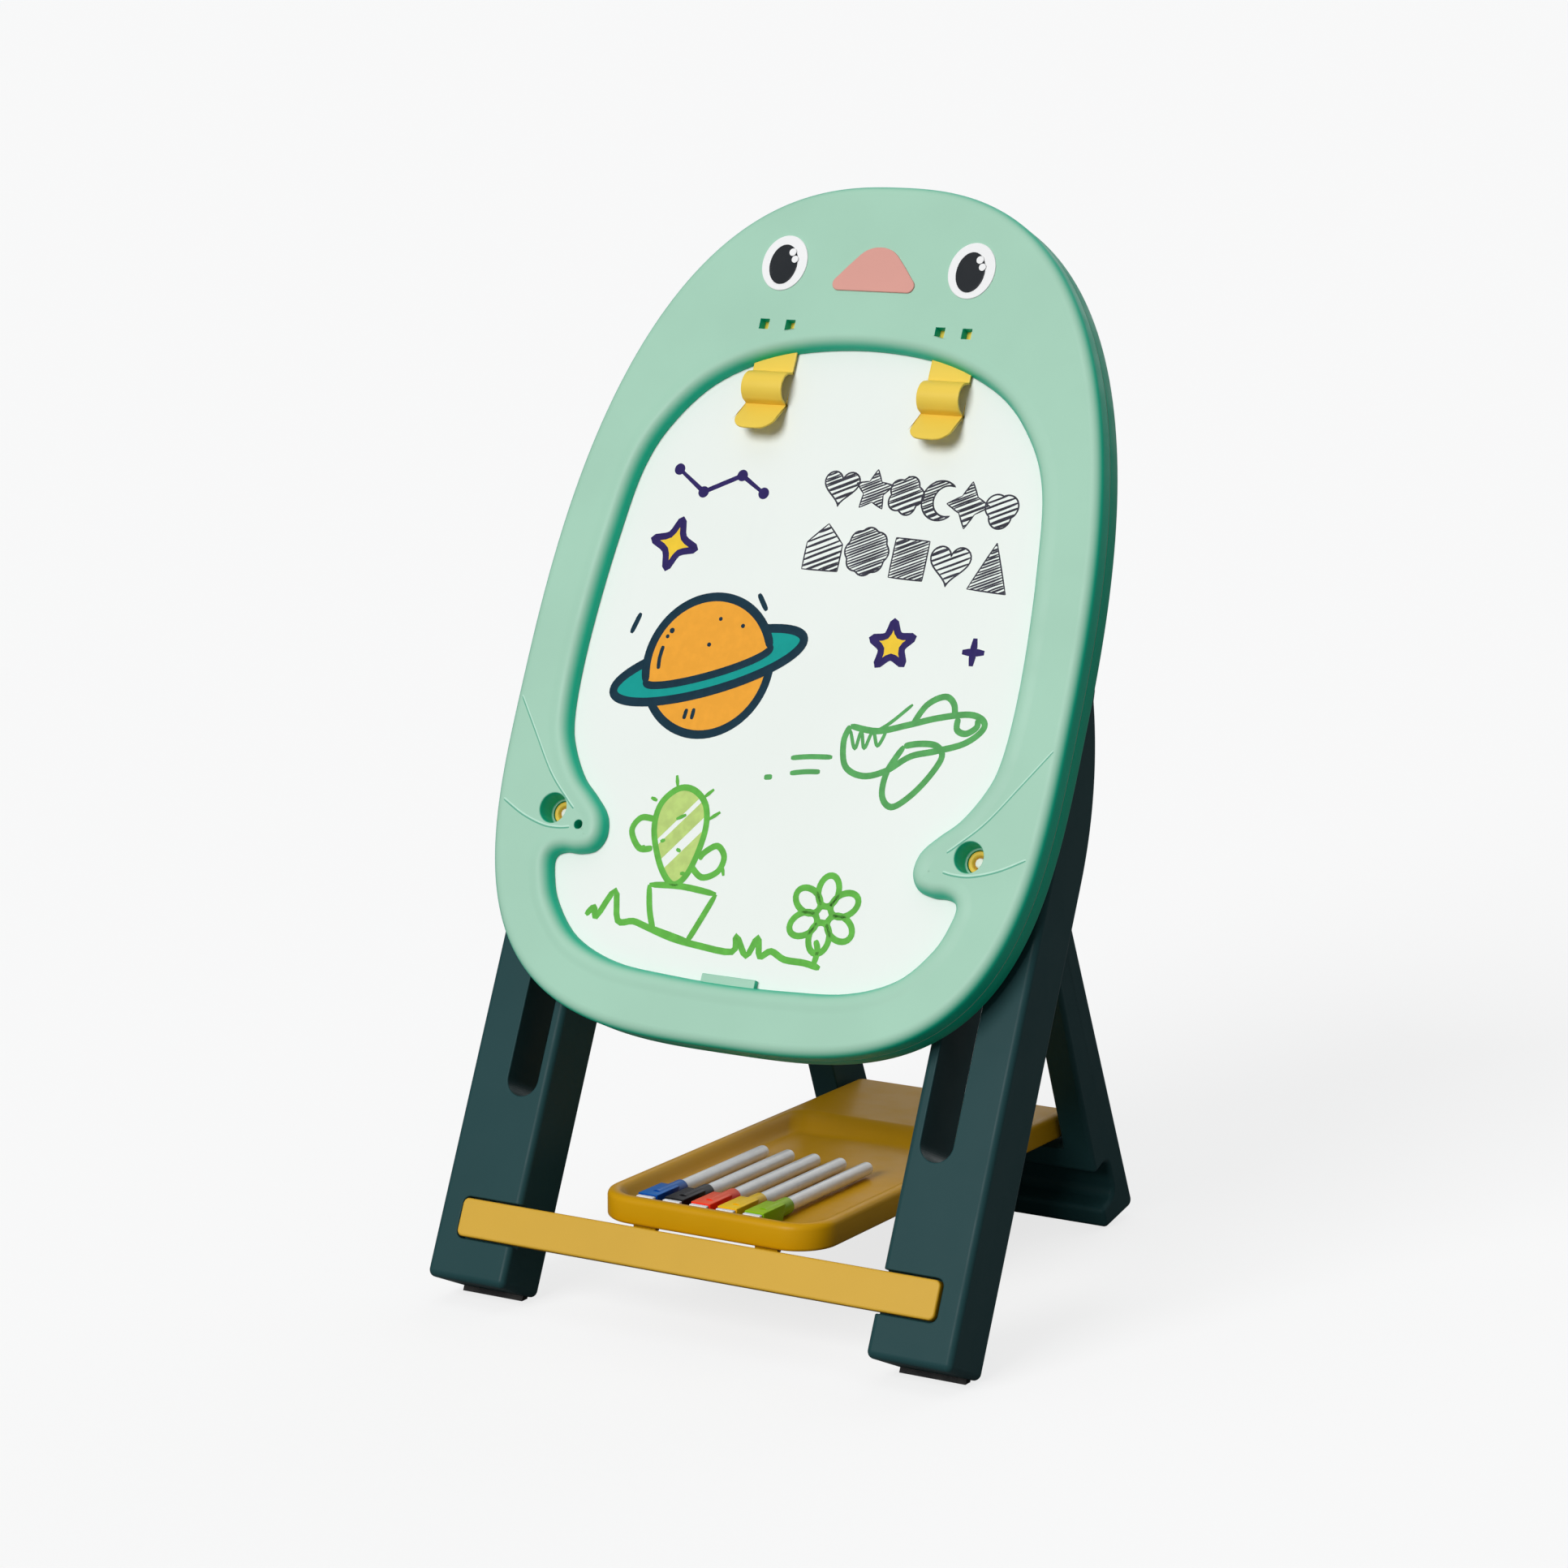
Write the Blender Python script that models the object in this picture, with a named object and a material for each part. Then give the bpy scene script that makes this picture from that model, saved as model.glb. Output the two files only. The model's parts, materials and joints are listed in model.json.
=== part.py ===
"""Folding kids easel with a height-adjustable whiteboard, a pen tray and five markers.

The front legs and the board lean back on one plane.  Everything on that plane is
drawn in its own axes: X across, V up the plane, H out of it towards the child.
The rear frame hangs from a hinge bridge at the top of the front legs.
"""
import math

import bmesh
import bpy
from mathutils import Matrix, Vector

for old in list(bpy.data.objects):
    bpy.data.objects.remove(old)

# ---------------------------------------------------------------- driving dimensions
GAP = 0.0003                      # clearance between neighbouring pieces

FRONT_LEAN = math.radians(23.72)  # front legs and board, back from vertical
REAR_LEAN = math.radians(21.9)    # rear frame, forward from vertical

LEG_OUTER_X = 0.236
LEG_INNER_X = 0.1633
LEG_DEPTH = 0.0544
LEG_SOLE_V = 0.0165               # lower end of the leg, up the front plane
LEG_TAPER_V = 0.40                # height where the back of the leg starts to curve in
LEG_TAPER_R = 0.2418
LEG_TIP_H = -0.014
LEG_TIP_V = 0.545
LEG_WALL = 0.003

SLOT_X = 0.1870
SLOT_HALF = 0.014
SLOT_LOW_V = 0.1675
SLOT_TOP_V = 0.470

BAR_HALF_X = 0.215
BAR_LOW_V = 0.0513
BAR_TOP_V = 0.0818
BAR_FRONT_H = 0.0025
BAR_BACK_H = -0.0095

HINGE_V = 0.5827
HINGE_H = -0.0334
HINGE_PIN_R = 0.004
BRIDGE_LOW_V = 0.508
BRIDGE_TOP_V = 0.602

REAR_OUTER_X = 0.1317
REAR_INNER_X = 0.1056
REAR_FRONT_H = 0.0127             # front face of the rear frame, from the hinge axis
REAR_FOOT_DEPTH = 0.0494
REAR_HEAD_DEPTH = 0.0270
FOOT_PANEL_TOP = 0.0767
GROOVE_LOW = 0.0190
GROOVE_TOP = 0.0560
GROOVE_DEPTH = 0.0230

BOARD_HALF_X = 0.246
BOARD_MID_V = 0.495
BOARD_TOP_V = 0.920
BOARD_LOW_V = 0.2235
BOARD_FRONT_H = 0.0425
BOARD_SEAM_H = 0.0240
BOARD_BACK_H = 0.0070
SHELL_WALL = 0.0025
PANEL_FRONT_H = 0.0300
PANEL_BACK_H = 0.0270

KNOB_V = 0.3924
KNOB_HOLE_R = 0.012
KNOB_R = 0.0195
KNOB_LOBE = 0.0022
CLIP_X = 0.0796
CLIP_HALF = 0.0185
CLIP_HINGE_V = 0.795
CLIP_HINGE_H = 0.0322
EYE_X = 0.0846
EYE_V = 0.8511

TRAY_HALF_X = 0.1012
TRAY_FRONT_Y = 0.0393             # tray and marker places in Y are from FRONT_Y
TRAY_BACK_Y = 0.4536
TRAY_TOP_Z = 0.1017
TRAY_HEIGHT = 0.0215
TRAY_WELL_DEPTH = 0.0140
TRAY_PIVOT_Y = 0.0473
TRAY_PIVOT_Z = 0.0908

MARKER_COUNT = 5
MARKER_FIRST_X = -0.0600
MARKER_PITCH = 0.0242
MARKER_FRONT_Y = 0.0600
BARREL_R = 0.0055
BARREL_LENGTH = 0.154
CAP_BLOCK_LENGTH = 0.033
CAP_BLOCK_WIDTH = 0.0175
CAP_BLOCK_HEIGHT = 0.0125
CAP_COLLAR_LENGTH = 0.013
CAP_COLLAR_R = 0.0068

# The feet stand on their rear edge.
FLOOR_RISE = LEG_DEPTH * math.sin(FRONT_LEAN) - LEG_SOLE_V * math.cos(FRONT_LEAN)
FRONT_Y = -0.2601                 # puts the row origin under the middle of the easel

DARK_GREEN = (0.031, 0.076, 0.080)
MINT = (0.392, 0.659, 0.503)
YELLOW = (0.672, 0.413, 0.066)
TRAY_YELLOW = (0.570, 0.305, 0.010)
CLIP_YELLOW = (0.791, 0.571, 0.093)
WHITE = (0.807, 0.871, 0.815)
INK_WHITE = (0.90, 0.90, 0.90)
PUPIL_BLACK = (0.017, 0.019, 0.023)
BEAK_PINK = (0.730, 0.371, 0.314)
STEEL = (0.60, 0.60, 0.62)
NYLON = (0.85, 0.84, 0.80)
RUBBER = (0.02, 0.02, 0.02)
BARREL_GREY = (0.60, 0.60, 0.61)
CAP_COLOURS = [
    ("blue", (0.004, 0.102, 0.352)),
    ("black", (0.017, 0.017, 0.019)),
    ("red", (0.871, 0.080, 0.032)),
    ("yellow", (1.000, 0.546, 0.004)),
    ("green", (0.262, 0.456, 0.007)),
]


# ---------------------------------------------------------------- small tools
def add_empty(name, location, angle_x, parent=None):
    """Axes that pieces are placed on: turned about X only."""
    empty = bpy.data.objects.new(name, None)
    bpy.context.scene.collection.objects.link(empty)
    empty.location = location
    empty.rotation_euler = (angle_x, 0.0, 0.0)
    empty.parent = parent
    return empty


def plastic(name, colour, roughness=0.5, metallic=0.0):
    material = bpy.data.materials.new(name)
    material.use_nodes = True
    shader = material.node_tree.nodes["Principled BSDF"]
    shader.inputs["Base Color"].default_value = (*colour, 1.0)
    shader.inputs["Roughness"].default_value = roughness
    shader.inputs["Metallic"].default_value = metallic
    return material


def add_piece(name, bm, parent, colour=None, roughness=0.5, metallic=0.0):
    """Turn a bmesh into a named object; without a colour it is a cutter or a filler."""
    bmesh.ops.recalc_face_normals(bm, faces=bm.faces[:])
    mesh = bpy.data.meshes.new(name)
    bm.to_mesh(mesh)
    bm.free()
    mesh.shade_smooth()
    mesh.set_sharp_from_angle(angle=math.radians(35))
    piece = bpy.data.objects.new(name, mesh)
    bpy.context.scene.collection.objects.link(piece)
    piece.parent = parent
    if colour is None:
        piece.hide_render = True
        piece.display_type = "WIRE"
    else:
        mesh.materials.append(plastic(name, colour, roughness, metallic))
    return piece


def boolean(piece, tool, operation):
    modifier = piece.modifiers.new(operation.lower(), "BOOLEAN")
    modifier.operation = operation
    modifier.solver = "EXACT"
    modifier.object = tool


def cut(piece, bm, parent, label):
    boolean(piece, add_piece(piece.name + "_cut_" + label, bm, parent), "DIFFERENCE")


def join(piece, bm, parent, label):
    boolean(piece, add_piece(piece.name + "_add_" + label, bm, parent), "UNION")


def soften(piece, width, segments=2, angle=50):
    modifier = piece.modifiers.new("soften", "BEVEL")
    modifier.width = width
    modifier.segments = segments
    modifier.limit_method = "ANGLE"
    modifier.angle_limit = math.radians(angle)


def prism(outline, low, high):
    """A flat outline in the first two axes, raised along the third."""
    bm = bmesh.new()
    corners = [bm.verts.new((x, y, low)) for x, y in outline]
    face = bm.faces.new(corners)
    raised = bmesh.ops.extrude_face_region(bm, geom=[face])["geom"]
    bmesh.ops.translate(
        bm, vec=(0, 0, high - low), verts=[v for v in raised if isinstance(v, bmesh.types.BMVert)]
    )
    return bm


def side_prism(profile, x0, x1):
    """A side profile of (V, H) points, drawn out across X."""
    bm = bmesh.new()
    corners = [bm.verts.new((x0, v, h)) for v, h in profile]
    face = bm.faces.new(corners)
    raised = bmesh.ops.extrude_face_region(bm, geom=[face])["geom"]
    bmesh.ops.translate(
        bm, vec=(x1 - x0, 0, 0), verts=[v for v in raised if isinstance(v, bmesh.types.BMVert)]
    )
    return bm


def box(x0, x1, y0, y1, z0, z1):
    return prism([(x0, y0), (x1, y0), (x1, y1), (x0, y1)], z0, z1)


def arc(cx, cy, radius, start, end, count):
    """Points on a circular arc, angles in degrees, both ends included."""
    turns = [math.radians(start + (end - start) * i / count) for i in range(count + 1)]
    return [(cx + radius * math.cos(t), cy + radius * math.sin(t)) for t in turns]


def disc(cx, cy, radius, count=24):
    return arc(cx, cy, radius, 0, 360 - 360 / count, count - 1)


def oval(cx, cy, rx, ry, count=28):
    return [(cx + rx * x, cy + ry * y) for x, y in disc(0, 0, 1.0, count)]


def stadium(cx, low, high, radius, count=8):
    """A slot outline standing along V, low and high are its two tips."""
    bottom = arc(cx, low + radius, radius, 180, 360, count)
    top = arc(cx, high - radius, radius, 0, 180, count)
    return bottom + top


def rounded_box_outline(x0, x1, y0, y1, radii, count=5):
    """Corner radii run from the low-left corner, anticlockwise."""
    a, b, c, d = radii
    points = arc(x0 + a, y0 + a, a, 180, 270, count)
    points += arc(x1 - b, y0 + b, b, 270, 360, count)
    points += arc(x1 - c, y1 - c, c, 0, 90, count)
    points += arc(x0 + d, y1 - d, d, 90, 180, count)
    return points


def rod(radius, start, end, count=16):
    """A round bar between two points."""
    start = Vector(start)
    end = Vector(end)
    bm = bmesh.new()
    bmesh.ops.create_cone(
        bm, cap_ends=True, segments=count, radius1=radius, radius2=radius, depth=(end - start).length
    )
    turn = Vector((0, 0, 1)).rotation_difference(end - start).to_matrix().to_4x4()
    bmesh.ops.transform(bm, matrix=Matrix.Translation((start + end) / 2) @ turn, verts=bm.verts[:])
    return bm


def skin(loops, closed):
    """Wrap a stack of equal outlines; closed joins the last to the first, else both ends are capped.

    Two outlines at the same height are filled flat, so they may have quite different shapes.
    """
    bm = bmesh.new()
    rings = [[bm.verts.new((x, y, height)) for x, y in outline] for outline, height in loops]
    heights = [height for _, height in loops]
    spans = list(range(len(loops) - 1))
    if closed:
        spans.append(-1)
    else:
        bm.faces.new(rings[0])
        bm.faces.new(rings[-1])
    flat = []
    for k in spans:
        lower, upper = rings[k], rings[k + 1]
        if abs(heights[k] - heights[k + 1]) < 1e-9:
            flat.append((lower, upper))
            continue
        for i in range(len(lower)):
            bm.faces.new((lower[i - 1], lower[i], upper[i], upper[i - 1]))
    for lower, upper in flat:
        rims = []
        for ring in (lower, upper):
            for i in range(len(ring)):
                pair = (ring[i - 1], ring[i])
                rims.append(bm.edges.get(pair) or bm.edges.new(pair))
        bmesh.ops.triangle_fill(bm, edges=rims, use_beauty=True, normal=(0, 0, 1))
    return bm


# ---------------------------------------------------------------- outlines of the board
OUTLINE_POINTS = 96


def egg_point(turn):
    """The board's outer outline: a squared-off egg, fuller at the bottom than at the top."""
    c = math.cos(turn)
    s = math.sin(turn)
    height = BOARD_TOP_V - BOARD_MID_V if s > 0 else BOARD_MID_V - BOARD_LOW_V
    power = 2.5 if s > 0 else 3.2
    reach = (abs(c) ** power + abs(s) ** power) ** (-1 / power)
    return Vector((BOARD_HALF_X * c * reach, BOARD_MID_V + height * s * reach))


# Half of the opening round the whiteboard, from the bottom middle up: the bump at the
# side is the end of the animal's flipper, which carries the clamp hole.
OPENING_HALF = [
    (0.000, 0.2735), (0.055, 0.2750), (0.105, 0.2795), (0.1450, 0.2945), (0.1700, 0.3205),
    (0.1800, 0.3440), (0.1805, 0.3555), (0.1720, 0.3600), (0.1590, 0.3602), (0.1460, 0.3640),
    (0.1393, 0.3740), (0.1395, 0.3860), (0.1445, 0.3965), (0.1560, 0.4080), (0.1710, 0.4215),
    (0.1850, 0.4430), (0.1925, 0.4640), (0.1957, 0.5000), (0.1950, 0.5500), (0.1900, 0.6150),
    (0.1805, 0.6790), (0.1600, 0.7210), (0.1250, 0.7555), (0.0700, 0.7780), (0.000, 0.7855),
]


def smooth_closed(points, per_span):
    """A closed Catmull-Rom curve through the points."""
    result = []
    count = len(points)
    for i in range(count):
        p0, p1, p2, p3 = (Vector(points[(i + k - 1) % count]) for k in range(4))
        for j in range(per_span):
            t = j / per_span
            result.append(
                0.5 * (2 * p1 + (p2 - p0) * t + (2 * p0 - 5 * p1 + 4 * p2 - p3) * t * t
                       + (3 * p1 - p0 - 3 * p2 + p3) * t ** 3)
            )
    return result


def offset_outline(points, outward):
    """Move every point of an anticlockwise outline out along its normal."""
    moved = []
    for i, point in enumerate(points):
        along = (points[(i + 1) % len(points)] - points[i - 1]).normalized()
        moved.append(point + outward * Vector((along.y, -along.x)))
    return moved


MIRRORED_HALF = [(-x, v) for x, v in OPENING_HALF[-2:0:-1]]
OPENING = smooth_closed(OPENING_HALF + MIRRORED_HALF, 2)
OUTER = [egg_point(2 * math.pi * (i / OUTLINE_POINTS) - math.pi / 2) for i in range(OUTLINE_POINTS)]


def opening(outward=0.0):
    return offset_outline(OPENING, outward)


def outer(inward=0.0):
    return offset_outline(OUTER, -inward)


# ---------------------------------------------------------------- axes of the frame
def on_front(x, v, h):
    """World place of a point given on the leaning front plane."""
    s = math.sin(FRONT_LEAN)
    c = math.cos(FRONT_LEAN)
    return Vector((x, FRONT_Y + v * s - h * c, FLOOR_RISE + v * c + h * s))


FRONT_TURN = math.pi / 2 - FRONT_LEAN
front = add_empty("front_plane", on_front(0, 0, 0), FRONT_TURN)
hinge_place = on_front(0, HINGE_V, HINGE_H)
rear = add_empty("rear_hinge", hinge_place, math.pi / 2 + REAR_LEAN)
tray_axis = add_empty("tray_hook", (0, FRONT_Y + TRAY_PIVOT_Y, TRAY_PIVOT_Z), 0.0)
board = add_empty("board_carriage", (0, 0, 0), 0.0, front)

# Distance from the hinge down to the edge that the rear frame stands on.
REAR_LENGTH = (hinge_place.z - REAR_FRONT_H * math.sin(REAR_LEAN)) / math.cos(REAR_LEAN)


# ---------------------------------------------------------------- front legs
def leg_profile(inset, low_v):
    """Side outline of a leg: straight back, then a long curve in to the tip."""
    radius = LEG_TAPER_R - inset
    centre_h = LEG_TAPER_R - LEG_DEPTH
    sweep = math.degrees(math.acos((centre_h - LEG_TIP_H - inset) / radius))
    back = [
        (LEG_TAPER_V + radius * math.sin(math.radians(sweep * i / 8)),
         centre_h - radius * math.cos(math.radians(sweep * i / 8)))
        for i in range(9)
    ]
    return back, [(low_v, -inset), (low_v, -LEG_DEPTH + inset)]


def make_leg(name, side):
    x0, x1 = sorted((side * LEG_INNER_X, side * LEG_OUTER_X))
    back = leg_profile(0.0, 0.0)[0]
    outline = [(LEG_SOLE_V, 0.0), (LEG_SOLE_V, -LEG_DEPTH)] + back
    outline += [(LEG_TIP_V, -0.005), (LEG_TIP_V, 0.0)]
    leg = add_piece(name, side_prism(outline, x0, x1), front, DARK_GREEN, 0.45)
    soften(leg, 0.005)
    # The hollow is open through the sole in front of the foot pad, and passes behind the bar.
    back = leg_profile(LEG_WALL, 0.0)[0]
    below = LEG_SOLE_V - 0.01
    above = LEG_SOLE_V + 0.008
    hollow = [(below, -0.0145), (below, -0.0300), (above, -0.0300), (above, -LEG_DEPTH + LEG_WALL)]
    hollow += back
    hollow += [(LEG_TIP_V - 0.006, -LEG_WALL), (0.096, -LEG_WALL), (0.096, -0.0145)]
    core = add_piece(name + "_core", side_prism(hollow, x0 + LEG_WALL, x1 - LEG_WALL), front)
    tunnel = stadium(side * SLOT_X, SLOT_LOW_V - LEG_WALL, SLOT_TOP_V + LEG_WALL, SLOT_HALF + LEG_WALL)
    cut(core, prism(tunnel, -0.08, 0.02), front, "tunnel")
    boolean(leg, core, "DIFFERENCE")
    slot = stadium(side * SLOT_X, SLOT_LOW_V, SLOT_TOP_V, SLOT_HALF)
    cut(leg, prism(slot, -0.08, 0.02), front, "slot")
    notch_x = sorted((side * (LEG_INNER_X - 0.01), side * (BAR_HALF_X + 0.001)))
    notch = box(*notch_x, BAR_LOW_V - 0.001, BAR_TOP_V + 0.001, BAR_BACK_H - GAP, 0.01)
    cut(leg, notch, front, "bar_notch")
    pocket = side_prism(pad_profile(GAP), x0 + 0.008 - GAP, x1 - 0.008 + GAP)
    cut(leg, pocket, front, "pad_pocket")
    return leg


def pad_profile(grow):
    """Wedge pad under the rear edge of the sole; its lower face lies flat on the floor."""
    near = -LEG_DEPTH + 0.003 - grow
    far = -LEG_DEPTH + 0.010 + grow
    top = LEG_SOLE_V + 0.0045 + grow
    slope = math.tan(FRONT_LEAN)
    drop = 0.0 if grow == 0 else 0.01
    return [
        (top, near), (top, far),
        (LEG_SOLE_V - (far + LEG_DEPTH) * slope - drop, far),
        (LEG_SOLE_V - (near + LEG_DEPTH) * slope - drop, near),
    ]


for side, word in ((-1, "left"), (1, "right")):
    make_leg("front_leg_" + word, side)
    pad_x = sorted((side * (LEG_INNER_X + 0.008), side * (LEG_OUTER_X - 0.008)))
    add_piece("front_foot_pad_" + word, side_prism(pad_profile(0.0), *pad_x), front, RUBBER, 0.9)

bar_outline = rounded_box_outline(-BAR_HALF_X, BAR_HALF_X, BAR_LOW_V, BAR_TOP_V, [0.005] * 4, 4)
crossbar = add_piece("front_crossbar", prism(bar_outline, BAR_BACK_H, BAR_FRONT_H), front, YELLOW, 0.5)
soften(crossbar, 0.0015, 2, 60)

# ---------------------------------------------------------------- hinge bridge and pins
BRIDGE_HALF_X = LEG_INNER_X - GAP
LUG_INNER_X = REAR_OUTER_X + 0.003
LUG_OUTER_X = LUG_INNER_X + 0.018
LUG_R = 0.014
bridge_outline = rounded_box_outline(
    -BRIDGE_HALF_X, BRIDGE_HALF_X, BRIDGE_LOW_V, BRIDGE_TOP_V, [0.002, 0.002, 0.018, 0.018]
)
bridge = add_piece("hinge_bridge", prism(bridge_outline, -0.0190, -0.0030), front, DARK_GREEN, 0.5)
soften(bridge, 0.0015, 1)
lug_profile = [(HINGE_V - 0.024, -0.0100), (HINGE_V + 0.017, -0.0100)]
lug_profile += [(HINGE_V + v, HINGE_H + h) for v, h in arc(0, 0, LUG_R, 0, -180, 10)]
for side, word in ((-1, "left"), (1, "right")):
    lug_x = sorted((side * LUG_INNER_X, side * LUG_OUTER_X))
    join(bridge, side_prism(lug_profile, *lug_x), front, "lug_" + word)
    bore_start = (side * (LUG_INNER_X - 0.01), HINGE_V, HINGE_H)
    bore_end = (side * (LUG_OUTER_X + 0.01), HINGE_V, HINGE_H)
    cut(bridge, rod(HINGE_PIN_R + 0.0002, bore_start, bore_end), front, "bore_" + word)
    # Shoulder pin: head outside the lug, tip blind in the rear frame.
    pin = add_piece(
        "hinge_pin_" + word,
        rod(HINGE_PIN_R, (side * 0.1120, 0, 0), (side * (LUG_OUTER_X + 0.0020), 0, 0)),
        rear, STEEL, 0.35, 1.0,
    )
    head = rod(0.0075, (side * (LUG_OUTER_X + GAP), 0, 0), (side * (LUG_OUTER_X + 0.0060), 0, 0))
    join(pin, head, rear, "head")
pocket_outline = rounded_box_outline(
    -0.128, 0.128, BRIDGE_LOW_V + 0.004, BRIDGE_TOP_V - 0.004, [0.006] * 4, 3
)
cut(bridge, prism(pocket_outline, -0.0160, 0.0100), front, "pocket")


# ---------------------------------------------------------------- rear frame
def rear_back_h(s):
    """Back face of the rear frame: it tapers from the foot to the hinge."""
    share = (s + REAR_LENGTH) / REAR_LENGTH
    return REAR_FRONT_H - REAR_FOOT_DEPTH + (REAR_FOOT_DEPTH - REAR_HEAD_DEPTH) * share


FOOT = -REAR_LENGTH
FOOT_BACK = FOOT - 0.0091


def rear_leg_profile():
    """Side outline: foot with a deep grip groove, straight leg, round head at the hinge."""
    points = [
        (FOOT, REAR_FRONT_H),
        (FOOT + GROOVE_LOW, REAR_FRONT_H),
        (FOOT + GROOVE_LOW, REAR_FRONT_H - GROOVE_DEPTH),
        (FOOT + GROOVE_TOP, REAR_FRONT_H - GROOVE_DEPTH),
        (FOOT + GROOVE_TOP, REAR_FRONT_H),
    ]
    points += arc(0, 0, REAR_FRONT_H, 90, -20, 8)
    points += [(-0.012, rear_back_h(-0.012)), (FOOT_BACK, rear_back_h(FOOT_BACK))]
    return points


def make_rear_frame():
    x0, x1 = REAR_INNER_X, REAR_OUTER_X
    frame = add_piece("rear_frame", side_prism(rear_leg_profile(), x0, x1), rear, DARK_GREEN, 0.5)
    join(frame, side_prism(rear_leg_profile(), -x1, -x0), rear, "other_leg")
    # Foot panel: a grooved channel across the foot, open at the back.
    front_h = REAR_FRONT_H - 0.0005
    back_h = rear_back_h(FOOT + 0.05) + 0.002
    wall = 0.004
    top = FOOT + FOOT_PANEL_TOP
    channel = [
        (FOOT + 0.0005, front_h), (FOOT + GROOVE_LOW, front_h),
        (FOOT + GROOVE_LOW, REAR_FRONT_H - GROOVE_DEPTH), (FOOT + GROOVE_TOP, REAR_FRONT_H - GROOVE_DEPTH),
        (FOOT + GROOVE_TOP, front_h), (top, front_h), (top, back_h), (top - wall, back_h),
        (top - wall, front_h - wall), (FOOT + GROOVE_TOP + wall, front_h - wall),
        (FOOT + GROOVE_TOP + wall, REAR_FRONT_H - GROOVE_DEPTH - wall),
        (FOOT + GROOVE_LOW - wall, REAR_FRONT_H - GROOVE_DEPTH - wall),
        (FOOT + GROOVE_LOW - wall, front_h - wall),
        (FOOT + wall, front_h - wall), (FOOT + wall - 0.007, back_h), (FOOT - 0.007, back_h),
    ]
    join(frame, side_prism(channel, -x0 - 0.003, x0 + 0.003), rear, "foot_panel")
    tie = [(-0.058, front_h - 0.001), (-0.024, front_h - 0.001), (-0.024, -0.006), (-0.058, -0.006)]
    join(frame, side_prism(tie, -x0 - 0.003, x0 + 0.003), rear, "head_tie")
    for side, word in ((-1, "left"), (1, "right")):
        inner = side * (x0 + 0.004)
        outer_x = side * (x1 - 0.004)
        leg_x = sorted((inner, outer_x))
        hollow = [
            (FOOT + GROOVE_TOP + 0.006, REAR_FRONT_H - 0.004),
            (-0.020, REAR_FRONT_H - 0.004),
            (-0.020, rear_back_h(-0.020) + 0.004),
            (FOOT - 0.03, rear_back_h(FOOT) + 0.004),
            (FOOT - 0.03, rear_back_h(FOOT) + 0.016),
            (FOOT + GROOVE_TOP + 0.006, rear_back_h(FOOT + GROOVE_TOP) + 0.016),
        ]
        cut(frame, side_prism(hollow, *leg_x), rear, "hollow_" + word)
        bore = rod(HINGE_PIN_R + 0.0002, (side * 0.1110, 0, 0), (side * (x1 + 0.01), 0, 0))
        cut(frame, bore, rear, "bore_" + word)
    return frame


make_rear_frame()


# ---------------------------------------------------------------- tray
def tray_box(x0, x1, y0, y1, z0, z1):
    """A box given from the front foot edge and the floor, moved to the tray's axis."""
    return box(x0, x1, y0 - TRAY_PIVOT_Y, y1 - TRAY_PIVOT_Y, z0 - TRAY_PIVOT_Z, z1 - TRAY_PIVOT_Z)


def tray_outline(inset, back_y):
    front_y = TRAY_FRONT_Y + inset - TRAY_PIVOT_Y
    corner = max(0.030 - inset, 0.006)
    back = max(0.005 - inset, 0.004) if back_y > 0.44 else 0.014
    half = TRAY_HALF_X - inset
    return rounded_box_outline(-half, half, front_y, back_y - TRAY_PIVOT_Y, [corner, corner, back, back], 6)


TRAY_TOP = TRAY_TOP_Z - TRAY_PIVOT_Z
TRAY_BOTTOM = TRAY_TOP - TRAY_HEIGHT
TRAY_FLOOR = TRAY_TOP - TRAY_WELL_DEPTH
WELL_BACK_Y = 0.335

tray_body = [
    (tray_outline(0.0020, TRAY_BACK_Y - 0.002), TRAY_BOTTOM),
    (tray_outline(0.0, TRAY_BACK_Y), TRAY_BOTTOM + 0.002),
    (tray_outline(0.0, TRAY_BACK_Y), TRAY_TOP - 0.003),
    (tray_outline(0.0030, TRAY_BACK_Y - 0.003), TRAY_TOP),
]
tray = add_piece("tray", skin(tray_body, False), tray_axis, TRAY_YELLOW, 0.5)
well = [
    (tray_outline(0.0150, WELL_BACK_Y - 0.014), TRAY_FLOOR),
    (tray_outline(0.0095, WELL_BACK_Y - 0.002), TRAY_TOP - 0.004),
    (tray_outline(0.0065, WELL_BACK_Y), TRAY_TOP + 0.002),
]
cut(tray, skin(well, False), tray_axis, "well")
under_deck = tray_box(-0.097, 0.097, WELL_BACK_Y + 0.006, TRAY_BACK_Y - 0.005, 0.08, TRAY_TOP_Z - 0.0035)
cut(tray, under_deck, tray_axis, "under_deck")
under_well = tray_box(-0.090, 0.090, 0.070, 0.315, 0.08, TRAY_TOP_Z - TRAY_WELL_DEPTH - 0.0030)
cut(tray, under_well, tray_axis, "under_well")
for side, word in ((-1, "left"), (1, "right")):
    hook_x = sorted((side * 0.045, side * 0.065))
    hook = tray_box(*hook_x, 0.0445, 0.0500, TRAY_PIVOT_Z - 0.0145, TRAY_PIVOT_Z - 0.006)
    join(tray, hook, tray_axis, "hook_" + word)

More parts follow.
